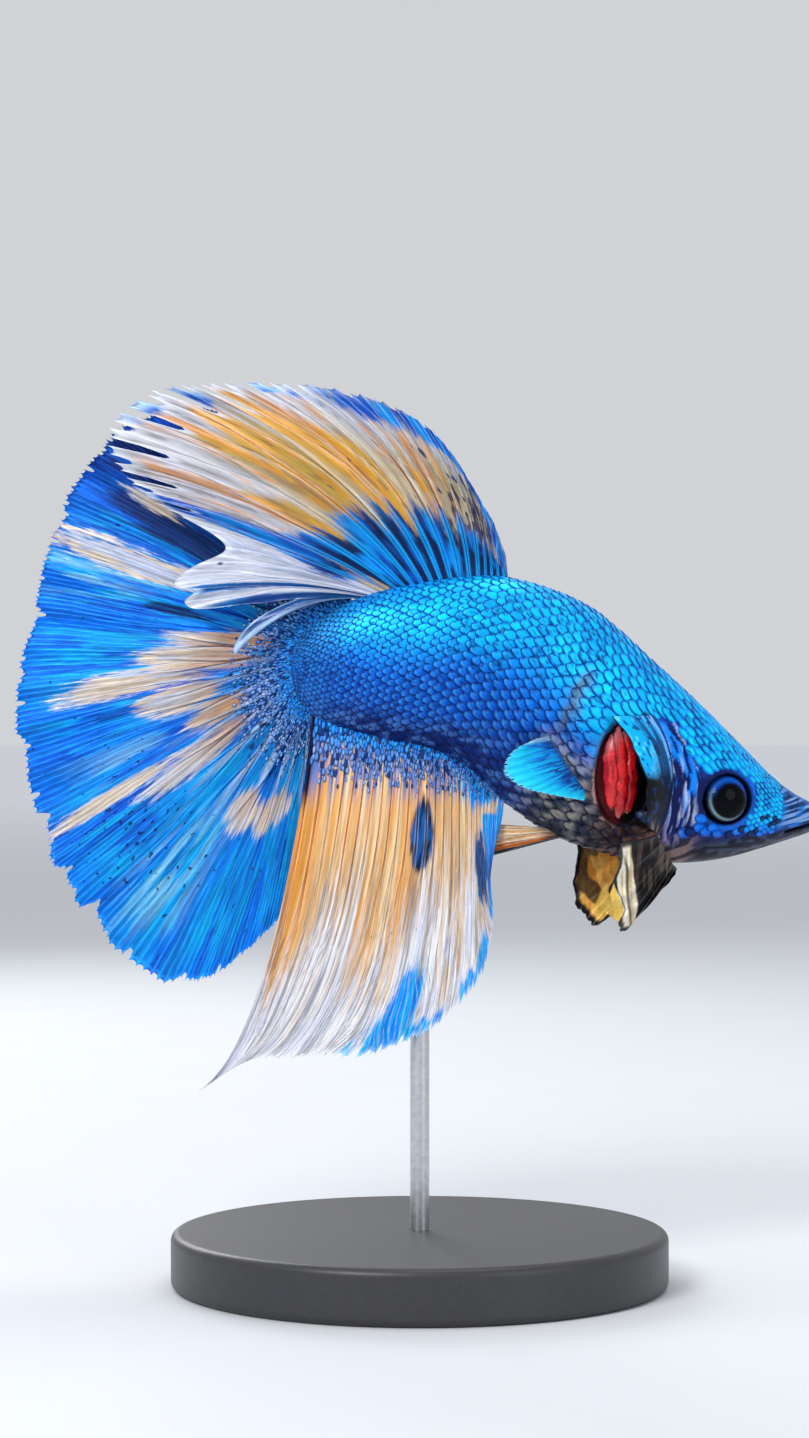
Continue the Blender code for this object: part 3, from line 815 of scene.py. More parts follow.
class Surface:
    """The skin as a fine grid, from which places and outward directions are read."""

    def __init__(self):
        self.t = skin_stations()
        self.angle = np.linspace(0, 2 * np.pi, SKIN_SPOKES, endpoint=False)
        self.straight = rings(self.t[:, None], self.angle[None, :])
        self.points = bent(self.straight)
        ahead = np.gradient(self.points, axis=0)
        around = np.roll(self.points, -1, 1) - np.roll(self.points, 1, 1)
        normal = np.cross(around, ahead)
        self.normals = normal / np.maximum(np.linalg.norm(normal, axis=-1, keepdims=True), 1e-9)
        middle = self.points.mean(1, keepdims=True)
        if np.sum((self.points - middle) * self.normals) < 0:
            self.normals = -self.normals

    def read(self, grid, t, angle):
        """Values of a grid at stations t and angles, between its points."""
        row = np.interp(t, self.t, np.arange(SKIN_RINGS))
        column = np.mod(angle, 2 * np.pi) / (2 * np.pi) * SKIN_SPOKES
        i = np.clip(np.floor(row).astype(int), 0, SKIN_RINGS - 2)
        j = np.floor(column).astype(int)
        f, g = (row - i)[..., None], (column - j)[..., None]
        j, k = j % SKIN_SPOKES, (j + 1) % SKIN_SPOKES
        near, far = (grid[ring, j] * (1 - g) + grid[ring, k] * g for ring in (i, i + 1))
        return near * (1 - f) + far * f


# ---------------------------------------------------------------- body colours


def body_tones(place, up):
    """(bright tone, dark tone, how cyan, how much belly) of the markings at straight-fish points."""
    x, _, z = place
    patchy = noise(2.6, 11, *place) - 0.5
    fine = noise(0.9, 12, *place) - 0.5
    mottled = step(0.40, 0.60, noise((0.8, 0.8, 0.4), 14, *place))
    level = up + 0.35 * patchy + 0.12 * fine
    forward, chest, head = step(8.5, 13.5, x), step(5.5, 9.5, x), step(16.5, 18.5, x)
    glow = step(-0.15 - 0.5 * forward, 0.55 - 0.65 * forward, level) * (0.62 + 0.38 * step(-5.0, 4.0, x))
    belly = step(-0.40, -0.85, level - 0.30 * step(5, 9, x) + 0.48 * head)
    throat = step(10.5, 13, x) * step(-0.42, -0.72, level + 0.25 * head)
    stem = step(-3.5, -7.0, x + 1.2 * patchy) * step(-0.2, 0.5, up)
    root = step(-4.5, -8.6, x + 1.5 * patchy)
    slant = x - 0.45 * (z - 42) - 0.8 * fine
    band = bell(slant, 10.3, 0.42) * span(z, 39.6, 40.6, 43.6, 45.0)
    blue_belly = mix((8, 44, 124), (70, 122, 206), mottled)
    under = mix(blue_belly, mix((70, 80, 80), (180, 174, 158), mottled), chest)
    bright = painted(
        mix(mix(DEEP, BLUE, 0.30), mix(BLUE, CYAN, glow), step(-0.55, 0.10, level + 0.6 * forward)),
        (under, belly * (1 - 0.2 * forward)),
        (mix((66, 58, 62), (134, 112, 108), mottled), throat),
        ((40, 110, 176), 0.6 * stem),
        ((36, 128, 226), 0.6 * root),
        ((96, 104, 122), 0.8 * band),
    )
    dark = painted(
        mix(NAVY, DEEP, 0.30 + 0.60 * glow),
        (mix(NAVY, SOOT, 0.3 + 0.7 * chest), belly),
        ((34, 28, 34), throat),
        ((10, 18, 42), stem),
        ((40, 44, 66), 0.8 * band),
    )
    return bright, dark, glow, belly


def skin_colours(points, up):
    """The bare skin: dark under the scales, with its own markings on the head and gill opening, and
    painted highlights and shade on the snout's ridges, in the cheek folds, under the gill cover and in
    the gill opening.
    """
    x, _, z = place = np.moveaxis(points, -1, 0)
    bright, dark, *_ = body_tones(place, up)
    eye, gill, mouth = eye_distance(x, z), gill_distance(x, z), over_mouth(x, z)
    speck = step(0.60, 0.72, noise(0.34, 21, *place))
    mottle = step(0.35, 0.65, noise((0.5, 0.5, 0.22), 22, *place))
    snout, face, top = step(24.5, 26.5, x), step(25, 26.5, x), step(0.55, 0.9, up)
    lines = noise((2.6, 0.15), 23, x, mouth)
    # Pale lines above the mouth: painted highlights along the ridges of the snout.
    painted_ridge_highlight = step(0.50, 0.66, lines) * face * step(0.2, 0.5, mouth)
    jaw = step(0.30, -0.20, z - jaw_line(x) + 0.3 * (mottle - 0.5)) * step(18.4, 20.2, x)
    jaw = np.maximum(jaw, step(0.25, -0.25, mouth) * step(22.0, 25.0, x))
    wrinkled = step(0.45, 0.62, noise((1.4, 0.24), 24, x, z - 0.35 * x))
    throat = span(x, 14.5, 15.5, 18.6, 19.8) * step(0.2, -0.5, z - 33.0 + 0.9 * (mottle - 0.5))
    fold, folded = cheek_fold(x, z)
    ahead = x - hinge_x(z)
    # The cheek folds: dark navy in their hollows, painted shade; blue on their crests, with a painted
    # lavender highlight where raised is high.
    raised = step(0.45, 0.75, noise((0.20, 0.9), 25, ahead + 0.13 * (z - 40), z))
    fold_light_and_shade = mix((4, 22, 90), mix((0, 132, 250), (176, 196, 240), raised), step(-0.4, 0.6, fold))
    fold_light_and_shade = mix(fold_light_and_shade, mix(ROSE, ASH, 0.5), 0.7 * step(35.2, 32.6, z) * step(-0.2, 0.8, fold))
    # Painted shade: black in the hollow behind the hinge, under the open gill cover.
    hollow = bell(ahead, -0.9, 0.9) * span(z, 32.6, 33.4, 36.4, 37.6)
    behind = step(0.5, -0.7, (x - EYE_CENTRE[0] - 0.5 * (z - EYE_CENTRE[2])) / EYE_HALF[0])
    past = x - GILL_OPENING[0]
    rim = bell(gill, 1.06, 0.07) * step(0.6, -0.9, past)
    return painted(
        mix(mix(bright, dark, 0.25), dark, step(26.0, 24.3, x)),
        (mix((0, 104, 214), NAVY, 0.25), 0.8 * snout),
        # painted highlights on the snout's ridges
        ((150, 182, 226), 0.7 * painted_ridge_highlight * (1 - top)),
        ((2, 12, 44), 0.85 * step(0.52, 0.34, lines) * face * (1 - 0.6 * top)),
        (NAVY, 0.8 * speck * snout * (1 - painted_ridge_highlight)),
        (mix((6, 12, 30), (52, 62, 86), mottle), 0.95 * jaw),
        (mix((128, 104, 102), (38, 34, 42), wrinkled), 0.92 * throat),
        (BLACK, bell(mouth, 0, 0.12) * step(26, 26.5, x)),
        # the cheek folds, with their painted shade and highlights
        (fold_light_and_shade, folded),
        # painted shade under the gill cover
        (BLACK, 0.95 * hollow),
        ((2, 20, 84), 0.92 * step(1.62, 1.30, eye) * behind),
        ((0, 110, 230), 0.8 * bell(eye, 1.25, 0.15) * (1 - behind)),
        (BLACK, np.maximum(bell(eye, 1.04, 0.10), step(1.1, 1.0, eye))),
        # Inside the gill opening: dark red at the back, turning black towards the front with painted
        # shade under the cover.
        (mix((136, 52, 60), BLACK, step(-0.6, 0.5, past)), step(1.0, 0.86, gill)),
        (mix(ROSE, (60, 150, 190), step(37.0, 39.5, z)), 0.75 * rim),
    )


def scale_colours(rng, straight, up, back, across, middle):
    """Each scale is bright in its middle, with a pale crescent and a dark rim towards the tail."""
    x, _, _ = place = np.moveaxis(straight, -1, 0)
    middle_x, _, middle_z = (value[:, None] for value in middle.T)
    bright, dark, glow, belly = body_tones(place, up)
    tone = rng.random(middle_x.shape)
    reach = np.hypot(back - 0.05, across * 1.05) + 0.05 * (noise(0.16, 26, *place) - 0.5)
    face = step(16.5, 19.0, middle_x)
    shining = face * (tone > 0.35)
    rim = step(0.65 - 0.12 * face, 0.86 - 0.08 * face, reach) * step(-0.6 - face, 0.1 - face, back)
    edge = mix(mix(dark, (2, 14, 60), 0.4), (0, 62, 176), 0.75 * shining)
    body = mix(bright, dark, 0.55 * (1 - glow) * (0.25 + 0.75 * tone))
    crescent = bell(reach, 0.56, 0.14) * step(0.0, 0.5, back) * (0.35 + 0.40 * (1 - glow))
    chance = np.where(middle_x > 3, 0.20, 0.05) * step(-0.3, 0.3, up[:, :1]) + 0.12 * face
    dotted = rng.random(tone.shape) < chance
    dot_across = rng.normal(0, 0.22, tone.shape)
    dot_back = 0.25 + rng.normal(0, 0.2, tone.shape)
    dot = step(0.28, 0.14, np.hypot(back - dot_back, across - dot_across))
    fleck = step(0.66, 0.76, noise(0.17, 28, *place)) * step(0.35, 0.65, noise(1.7, 29, *place))
    rear = step(-4.5, -8.5, middle_x) * (tone > 0.7)
    cheek = face * step(35.4, 33.8, middle_z) * (tone < 0.22)
    return painted(
        body * (0.84 + 0.52 * tone + 0.20 * face)[..., None],
        (mix(bright, mix(CYAN, ICE, 0.3), 0.6 * (1 - belly)), crescent),
        (edge, rim * (0.96 - 0.30 * shining)),
        (dark, 0.65 * step(0.15, -0.55, back) * (1 - glow) * (1 - face)),
        (BLACK, 0.9 * dot * dotted),
        ((2, 30, 104), 0.7 * fleck * (1 - face)),
        (NAVY, 0.6 * rear * step(0.25, 0.5, reach)),
        ((2, 16, 66), 0.9 * cheek),
    )


# ---------------------------------------------------------------- skin and scales


def make_skin(surface):
    quads = grid_faces(SKIN_RINGS, SKIN_SPOKES, wrap=True)
    triangles = [quads[:, [0, 1, 2]], quads[:, [0, 2, 3]]]
    spokes = np.arange(SKIN_SPOKES)
    count = SKIN_RINGS * SKIN_SPOKES
    for hub, ring in ((count, spokes), (count + 1, spokes[::-1] + count - SKIN_SPOKES)):
        triangles.append(np.column_stack([ring, np.roll(ring, -1), np.full(SKIN_SPOKES, hub)]))
    hubs = [surface.points[0].mean(0), surface.points[-1].mean(0)]
    points = np.concatenate([surface.points.reshape(-1, 3), hubs])
    up = np.broadcast_to(np.sin(surface.angle), surface.straight.shape[:2])
    colours = skin_colours(surface.straight, up).reshape(-1, 3)
    colours = np.concatenate([colours, colours[:1], colours[-1:]])
    uv = stack(spokes / SKIN_SPOKES, np.arange(SKIN_RINGS)[:, None] / SKIN_RINGS) * 0.98 + 0.01
    uv = np.concatenate([uv.reshape(-1, 2), [[0.5, 0.002], [0.5, 0.998]]])
    skin = make_mesh("skin", points, np.concatenate(triangles), "skin", "skin", uv, paint=colours)
    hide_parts("head", "trunk", "tail_stem", "lower_jaw")


def on_scales(x, z):
    """Where the body carries scales."""
    ahead = x - hinge_x(z)
    folds = (ahead > -1.2) & (ahead < fold_width(z)) & (z > 31.5) & (z < 41.2)
    ragged = noise(0.7, 27, x, z)
    face = (x > 24.9 + 1.9 * ragged) | ((x > 17.0) & (z < jaw_line(x) + 0.5 * ragged - 0.1))
    face = face | ((x > 15.4) & (z < 32.6))
    return (eye_distance(x, z) > 1.36) & (gill_distance(x, z) > 1.08) & ~folds & ~face & (x > -9.2)


def scale_template(count):
    """Points of one scale: how far back and across they lie, in scale widths, and their height share."""
    line = np.concatenate([[-1], np.linspace(-1, 1, count), [1]])
    p, q = np.meshgrid(line, line, indexing="ij")
    back = p * np.sqrt(1 - q**2 / 2)
    across = q * np.sqrt(1 - p**2 / 2)
    height = np.full_like(p, -0.25)
    height[1:-1, 1:-1] = (0.5 + 0.5 * back - 0.22 * across**2)[1:-1, 1:-1]
    return back.ravel(), across.ravel(), height.ravel()


def scale_faces(scales, count):
    """Faces of this many scales, whose points follow one another."""
    one = grid_faces(count + 2, count + 2)
    return (one + (np.arange(scales) * (count + 2) ** 2)[:, None, None]).reshape(-1, 4)


def even_angles(t, shift):
    """Angles round a ring that lie evenly along its girth, each with the angle that one scale covers."""
    angle = np.linspace(0, 2 * np.pi, 721)
    gone = gone_along(rings(np.full_like(angle, t), angle))
    number = np.arange(SCALES_ROUND) + shift
    spots = np.interp(number / SCALES_ROUND * gone[-1], gone, angle)
    edges = np.interp(np.mod((number + 0.5) / SCALES_ROUND, 1) * gone[-1], gone, angle)
    return zip(spots, np.mod(edges - spots, 2 * np.pi) * 2)


def scale_roots():
    """(station, angle, width along stations, width in angle, width in mm) of every scale."""
    t = np.linspace(0.15, LAST, 2500)
    rows = smooth(STATIONS, t)
    tall, wide = np.linalg.norm(rows[:, :2] - rows[:, 2:4], axis=-1) / 2, rows[:, 4]
    girth = np.pi * (3 * (tall + wide) - np.sqrt((3 * tall + wide) * (tall + 3 * wide)))
    width = girth / SCALES_ROUND
    speed = np.gradient(gone_along(middle_line(rows)), t)
    number = running(np.diff(t) * (speed / (width * SCALE_PITCH))[1:])
    found = []
    for ring in range(int(number[-1])):
        at = np.interp(ring + 0.5, number, t)
        size, pace = np.interp(at, t, width), np.interp(at, t, speed)
        for angle, angle_width in even_angles(at, 0.5 * (ring % 2)):
            found.append((at, angle, size / pace, angle_width, size))
    return np.array(found)


def make_scales(surface):
    rng = np.random.default_rng(7)
    roots = scale_roots()
    middle = surface.read(surface.straight, roots[:, 0], roots[:, 1])
    kept = on_scales(middle[:, 0], middle[:, 2])
    roots, middle = roots[kept], middle[kept]
    back, across, height = scale_template(SCALE_POINTS)
    t, angle, t_width, angle_width, size = (column[:, None] for column in roots.T)
    spot_t = t - (back * 0.80 + rng.normal(0, 0.08, t.shape)) * t_width
    spot_angle = angle + (across * 0.60 + rng.normal(0, 0.08, t.shape)) * angle_width
    grids = (surface.points, surface.straight, surface.normals)
    place, straight, normal = (surface.read(grid, spot_t, spot_angle) for grid in grids)
    lift = (0.15 + 0.03 * rng.random(t.shape)) * np.minimum(size, 0.95)
    points = place + normal * (height * lift)[..., None]
    colours = scale_colours(rng, straight, np.sin(spot_angle), back, across, middle)
    uv = stack(angle / (2 * np.pi) + across * SCALE_PATCH, t / LAST + back * SCALE_PATCH)
    right, front = middle[:, 1] >= 0, middle[:, 0] >= SPLIT_X
    for side, on_side in (("right", right), ("left", ~right)):
        for end, at_end in (("front", front), ("rear", ~front)):
            chosen = on_side & at_end
            faces = scale_faces(chosen.sum(), SCALE_POINTS)
            name = f"scales_{side}_{end}"
            make_mesh(name, points[chosen], faces, "scales", "skin", uv[chosen], paint=colours[chosen])


# ---------------------------------------------------------------- fins


def rim_line(start, end):
    """Points just inside the body's edge: at -t on the back at station t, at +t on the belly."""
    found = []
    for position in np.linspace(start, end, 60):
        if abs(position) < 0.05:
            continue
        first = 0 if position < 0 else 2
        here = smooth(STATIONS, abs(position))[first : first + 2]
        there = smooth(STATIONS, abs(position + 0.05))[first : first + 2]
        ahead = (there - here) / np.linalg.norm(there - here)
        found.append((here[0] + BASE_SINK * ahead[1], here[1] - BASE_SINK * ahead[0]))
    return np.array(found)


def fin_points(fin, c, v):
    """Straight-fish points of a median fin's middle surface at ray coordinates (c, v)."""
    ends, rays, waves, wave_height, knees = fin
    base = rim_line(*ends)
    share, angle, tip_x, tip_z, tip_side = np.moveaxis(smooth(rays, c * (len(rays) - 1)), -1, 0)
    gone = gone_along(base)
    share = np.clip(share, 0, 1) * gone[-1]
    x, z = np.interp(share, gone, base[:, 0]), np.interp(share, gone, base[:, 1])
    reach = (knees[0] + (knees[1] - knees[0]) * c) * np.hypot(tip_x - x, tip_z - z)
    knee_x = x + reach * np.cos(np.radians(angle))
    knee_z = z + reach * np.sin(np.radians(angle))
    swing = wave_height * np.minimum(1, np.minimum(c, 1 - c) / WAVE_FADE) * np.sin(2 * np.pi * waves * c)
    side = tip_side * (1 - (1 - np.clip(v, 0, 1)) ** LEAN_POWER) + swing * np.clip(v, 0, 2) ** 1.5
    near, middle, far = (1 - v) ** 2, 2 * v * (1 - v), v**2
    x, z = near * x + middle * knee_x + far * tip_x, near * z + middle * knee_z + far * tip_z
    return stack(x, side, z)


class RayFan:
    """Ray coordinates of a fin's mesh: rays that branch towards the margin, and what lies between."""

    def __init__(self, primary, splits, rows, seed, keep_apart=0.22):
        rng = np.random.default_rng(seed)
        levels = len(splits)
        count = primary * 2**levels
        number = np.arange(count)
        v = np.linspace(0, 1, rows) ** 0.9
        centres = [(number // 2 ** (levels - k) + 0.5) / (primary * 2**k) for k in range(levels + 1)]
        path = np.repeat(centres[0][:, None], rows, 1)
        for k, split in enumerate(splits):
            late = rng.normal(0, 0.035, primary * 2**k)[number // 2 ** (levels - k)]
            opened = step(0, 0.24, v - split - late[:, None])
            path = path + (centres[k + 1] - centres[k])[:, None] * opened
        path = path * (1 - keep_apart) + centres[-1][:, None] * keep_apart
        between = np.concatenate([np.zeros((1, rows)), (path[1:] + path[:-1]) / 2, np.ones((1, rows))])
        columns = []
        for k, near in enumerate(COLUMN_SHARES):
            side = between[:-1] if k < 3 else between[1:]
            columns.append(side + (path - side) * near)
        self.c = np.concatenate([np.stack(columns, 1).reshape(-1, rows), between[-1:]])
        self.v = np.repeat(v[None, :], len(self.c), 0)
        self.profile = np.append(np.tile(RAY_PROFILE, count), 0.0)[:, None]
        stems = primary * 2 ** sum(split < 0.1 for split in splits)
        main = (np.arange(stems) + 0.5) / stems
        self.stem = step(0.22, 0.08, np.abs(self.c[..., None] - main).min(-1) * stems)
        rng.random(count)  # drawn and left, so that the ragged ends of the rays stay as they are
        apart = np.zeros(count + 1)
        for k in range(levels + 1):
            apart[:: 2 ** (levels - k)] += 1
        ray = np.append(np.repeat(number, len(COLUMN_SHARES)), count - 1)
        nearest = np.where(np.arange(len(ray)) % 6 < 3, ray, ray + 1)
        self.notch = apart[np.clip(nearest, 0, count)] / (levels + 1)
        self.tip = rng.normal(0, 1, count)[ray]

    def wander(self, width, across, along):
        """Lets the rays stray sideways a little, together with their neighbours."""
        drift = noise((across, along), 17, self.c, self.v) - 0.5
        held = np.minimum(1, np.minimum(self.c, 1 - self.c) / 0.04)
        self.c = self.c + 2 * width * drift * self.v * held

    def scallop(self, steps):
        """Lets the margin step in at some places, sharply on one side and gently on the other."""
        cut = np.zeros(len(self.c))
        for place, depth in steps:
            past = self.c[:, -1] - place
            cut = cut + depth * np.where(past >= 0, np.exp(-past / STEP_REACH), np.exp(past / STEP_EDGE))
        self.v = self.v * (1 - cut)[:, None]

    def cut_margin(self, fine, deep, uneven):
        """Draws the margin in between rays: fine between twigs, deep between main rays."""
        hollow = (1 - self.profile[:, 0]) ** 0.8
        depth = hollow * (fine + deep * self.notch**3) + uneven * np.abs(self.tip)
        self.v = self.v * (1 - depth)[:, None]

    def near_margin(self, low, high):
        """0 where less than the share low of the way to the margin, 1 past high."""
        return step(low, high, self.v / np.maximum(self.v[:, -1:], 0.1))

    def patches(self, spots, seed):
        """How strongly a marking covers, from 0 to 1: soft spots at (c, v) with uneven edges."""
        edge = noise((0.02, 0.25), seed, self.c, self.v) - 0.5
        shown = np.zeros_like(self.c)
        for c, v, across, along in spots:
            away = np.hypot((self.c - c) / across, (self.v - v) / along)
            shown = np.maximum(shown, np.clip(1.15 - 0.65 * away + 0.5 * edge, 0, 1))
        return shown

    def streaks(self, across, along, low, high, seed):
        """Ragged streaks that follow the rays, from 0 to 1."""
        main = noise((across, along), seed, self.c, self.v)
        fine = noise((across / 4, along / 3), seed + 1, self.c, self.v)
        return step(low, high, 0.7 * main + 0.3 * fine)


def foot(v):
    """Extra half thickness of a fin where it grows out of the body."""
    return FOOT * bell(v, 0, FOOT_LENGTH)


def caudal_paint(fan):
    c, v = fan.c, fan.v
    thin = fan.streaks(0.006, 0.2, 0.4, 0.6, 68)
    upper = step(0.38, 0.25, c)
    root = step(0.46, 0.10, v) * step(0.47, 0.60, c)
    navy = fan.patches(CAUDAL_NAVY, 71) + 0.25 * (thin - 0.5)
    line = fan.stem * step(0.52, 0.20, v + 0.10 * (thin - 0.5)) * step(0.42, 0.60, c)
    cover = 0.92 * fan.patches(CAUDAL_PEACH, 73)
    blue = painted(
        mix((0, 122, 255), (0, 158, 255), fan.streaks(0.03, 0.4, 0.35, 0.65, 61)),
        ((44, 186, 255), 0.75 * fan.streaks(0.010, 0.30, 0.52, 0.66, 63)),
        ((0, 76, 214), 0.75 * fan.streaks(0.009, 0.22, 0.57, 0.66, 65)),
        ((0, 118, 255), 0.7 * step(0.80, 0.95, v)),
        ((150, 214, 250), 0.8 * fan.patches(CAUDAL_PALE, 67) * thin),
        ((36, 166, 250), 0.5 * step(0.72, 0.84, c) * (1 - thin)),
        ((0, 66, 186), 0.8 * upper),
        ((8, 30, 96), 0.92 * step(0.42, 0.66, navy)),
        ((16, 40, 84), 0.8 * step(0.30, 0.05, v) * step(0.56, 0.46, c)),
        ((56, 112, 176), 0.75 * root),
        ((190, 208, 232), 0.85 * line),
    )
    warm = painted(
        mix((176, 132, 98), (236, 218, 198), step(0.12, 0.50, v)),
        ((196, 206, 232), 0.9 * fan.streaks(0.008, 0.2, 0.42, 0.62, 75) * step(0.25, 0.55, v)),
        ((222, 150, 98), 0.5 * fan.streaks(0.006, 0.12, 0.56, 0.7, 77) * step(0.5, 0.25, v)),
        ((110, 96, 112), 0.5 * fan.streaks(0.005, 0.12, 0.52, 0.66, 78) * step(0.5, 0.2, v)),
    )
    speck = 0.20 + 0.32 * bell(c, 0.72, 0.10) * bell(v, 0.70, 0.22) + 0.55 * root * step(0.36, 0.22, v)
    ridge = fan.profile * (1 - 0.45 * upper)
    return dict(paint=blue, second=warm, cover=cover, speck=speck, gleam=0.45 * (1 - cover), ridge=ridge)


def dorsal_paint(fan):
    c, v = fan.c, fan.v
    thin = fan.streaks(0.008, 0.4, 0.35, 0.65, 81)
    pale = step(0.42, 0.80, v + 0.30 * (noise((0.03, 0.5), 82, c, v) - 0.5) + 0.35 * step(0.56, 0.72, c))
    gold = fan.patches(DORSAL_GOLD, 83) + 0.30 * (fan.streaks(0.012, 0.5, 0.3, 0.7, 84) - 0.5)
    olive = fan.patches(DORSAL_OLIVE, 85) * (0.4 + 0.6 * thin)
    orange = fan.streaks(0.007, 0.6, 0.60, 0.68, 86) * span(v, 0.25, 0.4, 0.85, 0.98)
    orange = orange * span(c, 0.2, 0.3, 0.70, 0.80)
    front = bell(c, 0.17, 0.12) * bell(v, 0.55, 0.24)
    low, rear = step(0.46, 0.20, v), step(0.765, 0.80, c)
    last, wedge = step(0.935, 0.95, c), bell(c, 0.906, 0.016)
    edges = bell(c, 0.875, 0.006) + bell(c, 0.9375, 0.005) + bell(c, 0.995, 0.006)
    edges = np.clip(fan.near_margin(0.93, 0.985) * step(0.30, 0.45, c) + edges, 0, 1)
    between = low * (1 - fan.stem) * fan.streaks(0.03, 0.12, 0.30, 0.48, 92)
    cream = painted(
        mix((184, 164, 134), (218, 204, 176), thin),
        ((192, 200, 222), 0.72 * pale),
        (mix((206, 168, 86), (240, 176, 76), thin), 0.95 * step(0.36, 0.60, gold)),
        ((156, 140, 72), 0.8 * olive),
        ((226, 150, 64), 0.75 * orange),
        ((104, 84, 84), 0.55 * fan.streaks(0.004, 0.5, 0.60, 0.68, 88) * step(0.84, 0.76, c)),
        (mix((176, 188, 216), (216, 220, 240), thin), 0.95 * rear),
        (mix((30, 60, 110), (176, 158, 96), thin), 0.85 * front),
        ((228, 234, 250), 0.9 * edges),
    )
    blue = painted(
        mix((0, 84, 190), (0, 146, 240), fan.streaks(0.012, 0.3, 0.4, 0.6, 90)),
        ((2, 18, 66), 0.95 * between),
        ((70, 186, 255), 0.8 * low * fan.stem),
        ((16, 52, 116), 0.8 * np.maximum(last, wedge)),
        ((190, 220, 255), 0.8 * edges),
    )
    base = step(0.26, 0.12, v + 0.08 * (thin - 0.5)) * step(0.74, 0.66, c)
    cover = np.maximum(fan.patches(DORSAL_BLUE, 87), base) * (1 - rear * step(0.90, 0.93, c))
    cover = np.maximum(cover, np.maximum(last, 0.9 * wedge))
    speck = 0.20 + 0.85 * bell(c, 0.26, 0.17) * step(0.50, 0.25, v) + 0.7 * front
    gleam, ridge = 0.05 + 0.3 * cover, fan.profile * (1 - 0.85 * low * np.clip(cover, 0, 1))
    return dict(paint=cream, second=blue, cover=cover, speck=speck, gleam=gleam, ridge=ridge)


def anal_paint(fan):
    c, v = fan.c, fan.v
    thin = fan.streaks(0.007, 0.35, 0.35, 0.65, 91)
    ragged = thin - 0.5
    wide = noise((0.06, 0.45), 92, c, v) - 0.5
    heat = step(0.66, 0.34, v + 0.35 * wide) * step(0.25, 0.40, c)
    rear = step(0.91, 0.95, c) * step(0.66, 0.30, v)
    pale = step(0.34, 0.60, v + 0.34 * wide + 0.18 * ragged + 0.06 * step(0.6, 0.9, c))
    tan = fan.streaks(0.010, 0.3, 0.54, 0.64, 97) * step(1.0, 0.70, v) * (1 - 0.6 * step(0.6, 0.8, c))
    dark = fan.streaks(0.0045, 0.35, 0.62, 0.68, 98) * step(0.2, 0.4, v)
    x, _, z = np.moveaxis(fin_points(ANAL, c, v), -1, 0)
    ahead = x - 4.35 - 0.08 * (30.4 - z)
    lens = step(0.30, 0.60, bell(ahead, 0, 0.50) * bell(z, 30.4, 2.7) + 0.3 * ragged)
    front = step(0.20, 0.50, ahead) * step(0.15, 0.40, bell(z, 30.4, 3.4))
    spot_c, spot_v, across, along = ANAL_SPOT
    spot = np.hypot((c - spot_c) / across, (v - spot_v) / along)
    netted = fan.streaks(0.010, 0.035, 0.42, 0.58, 94)
    band = step(0.125, 0.045, v + 0.08 * ragged - 0.03 * step(0.35, 0.1, c))
    edge = fan.near_margin(0.955, 0.985)
    # Painted shadow: a dark line along the edge of the last ray, near the base.
    last = step(0.970, 0.982, c) * step(0.17, 0.12, v)
    cream = painted(
        mix((224, 182, 132), (244, 214, 172), thin),
        ((230, 164, 92), 0.85 * heat * fan.streaks(0.012, 0.45, 0.44, 0.66, 93)),
        ((226, 152, 68), 0.85 * rear),
        ((166, 156, 122), 0.4 * heat * fan.streaks(0.02, 0.3, 0.58, 0.70, 95)),
        (mix((214, 222, 244), (242, 246, 255), fan.streaks(0.006, 0.3, 0.4, 0.6, 96)), 0.95 * pale),
        ((230, 198, 156), 0.75 * pale * tan),
        ((98, 92, 104), 0.55 * dark),
        ((226, 206, 206), 0.6 * bell(c, 0.19, 0.07) * bell(v, 0.25, 0.16)),
        (mix((84, 126, 200), (168, 174, 220), thin), 0.92 * band),
        ((240, 244, 252), 0.85 * edge),
        # the painted shadow along the last ray
        ((6, 14, 56), last),
    )
    blue = painted(
        mix((0, 140, 250), (0, 184, 255), thin),
        (mix((8, 34, 100), (60, 116, 196), 0.6 * netted), 0.92 * lens),
        (mix((6, 22, 62), (30, 92, 166), netted), step(1.5, 1.3, spot)),
        ((190, 230, 255), 0.5 * edge),
    )
    cover = np.maximum(0.9 * fan.patches(ANAL_BLUE, 99), np.clip(1.75 - 1.25 * spot, 0, 1))
    cover = np.maximum(cover, 0.9 * np.maximum(lens, front))
    speck, gleam = 0.15 + 0.45 * band, 0.04 + 0.25 * cover + 0.2 * band
    ridge = fan.profile * (1 - np.maximum(0.75 * band, last))
    return dict(paint=cream, second=blue, cover=cover, speck=speck, gleam=gleam, ridge=ridge)


def make_fin(name, fin, fan, layers, pleat, folds):
    """A thin closed sheet with a ridge along each ray."""
    c, v = fan.c, fan.v
    middle = fin_points(fin, c, v)
    fold = np.sin(2 * np.pi * folds * c + 5 * noise((0.2, 9), 30, c, v))
    fold = fold + noise(1 / folds, 31, c, v * 0.02) - 0.5
    middle[..., 1] += pleat * v * fold
    thick = 0.045 + 0.075 * fan.profile * (1 - 0.65 * v) + foot(v)
    make_sheet(name, middle, thick, c, v, **layers)


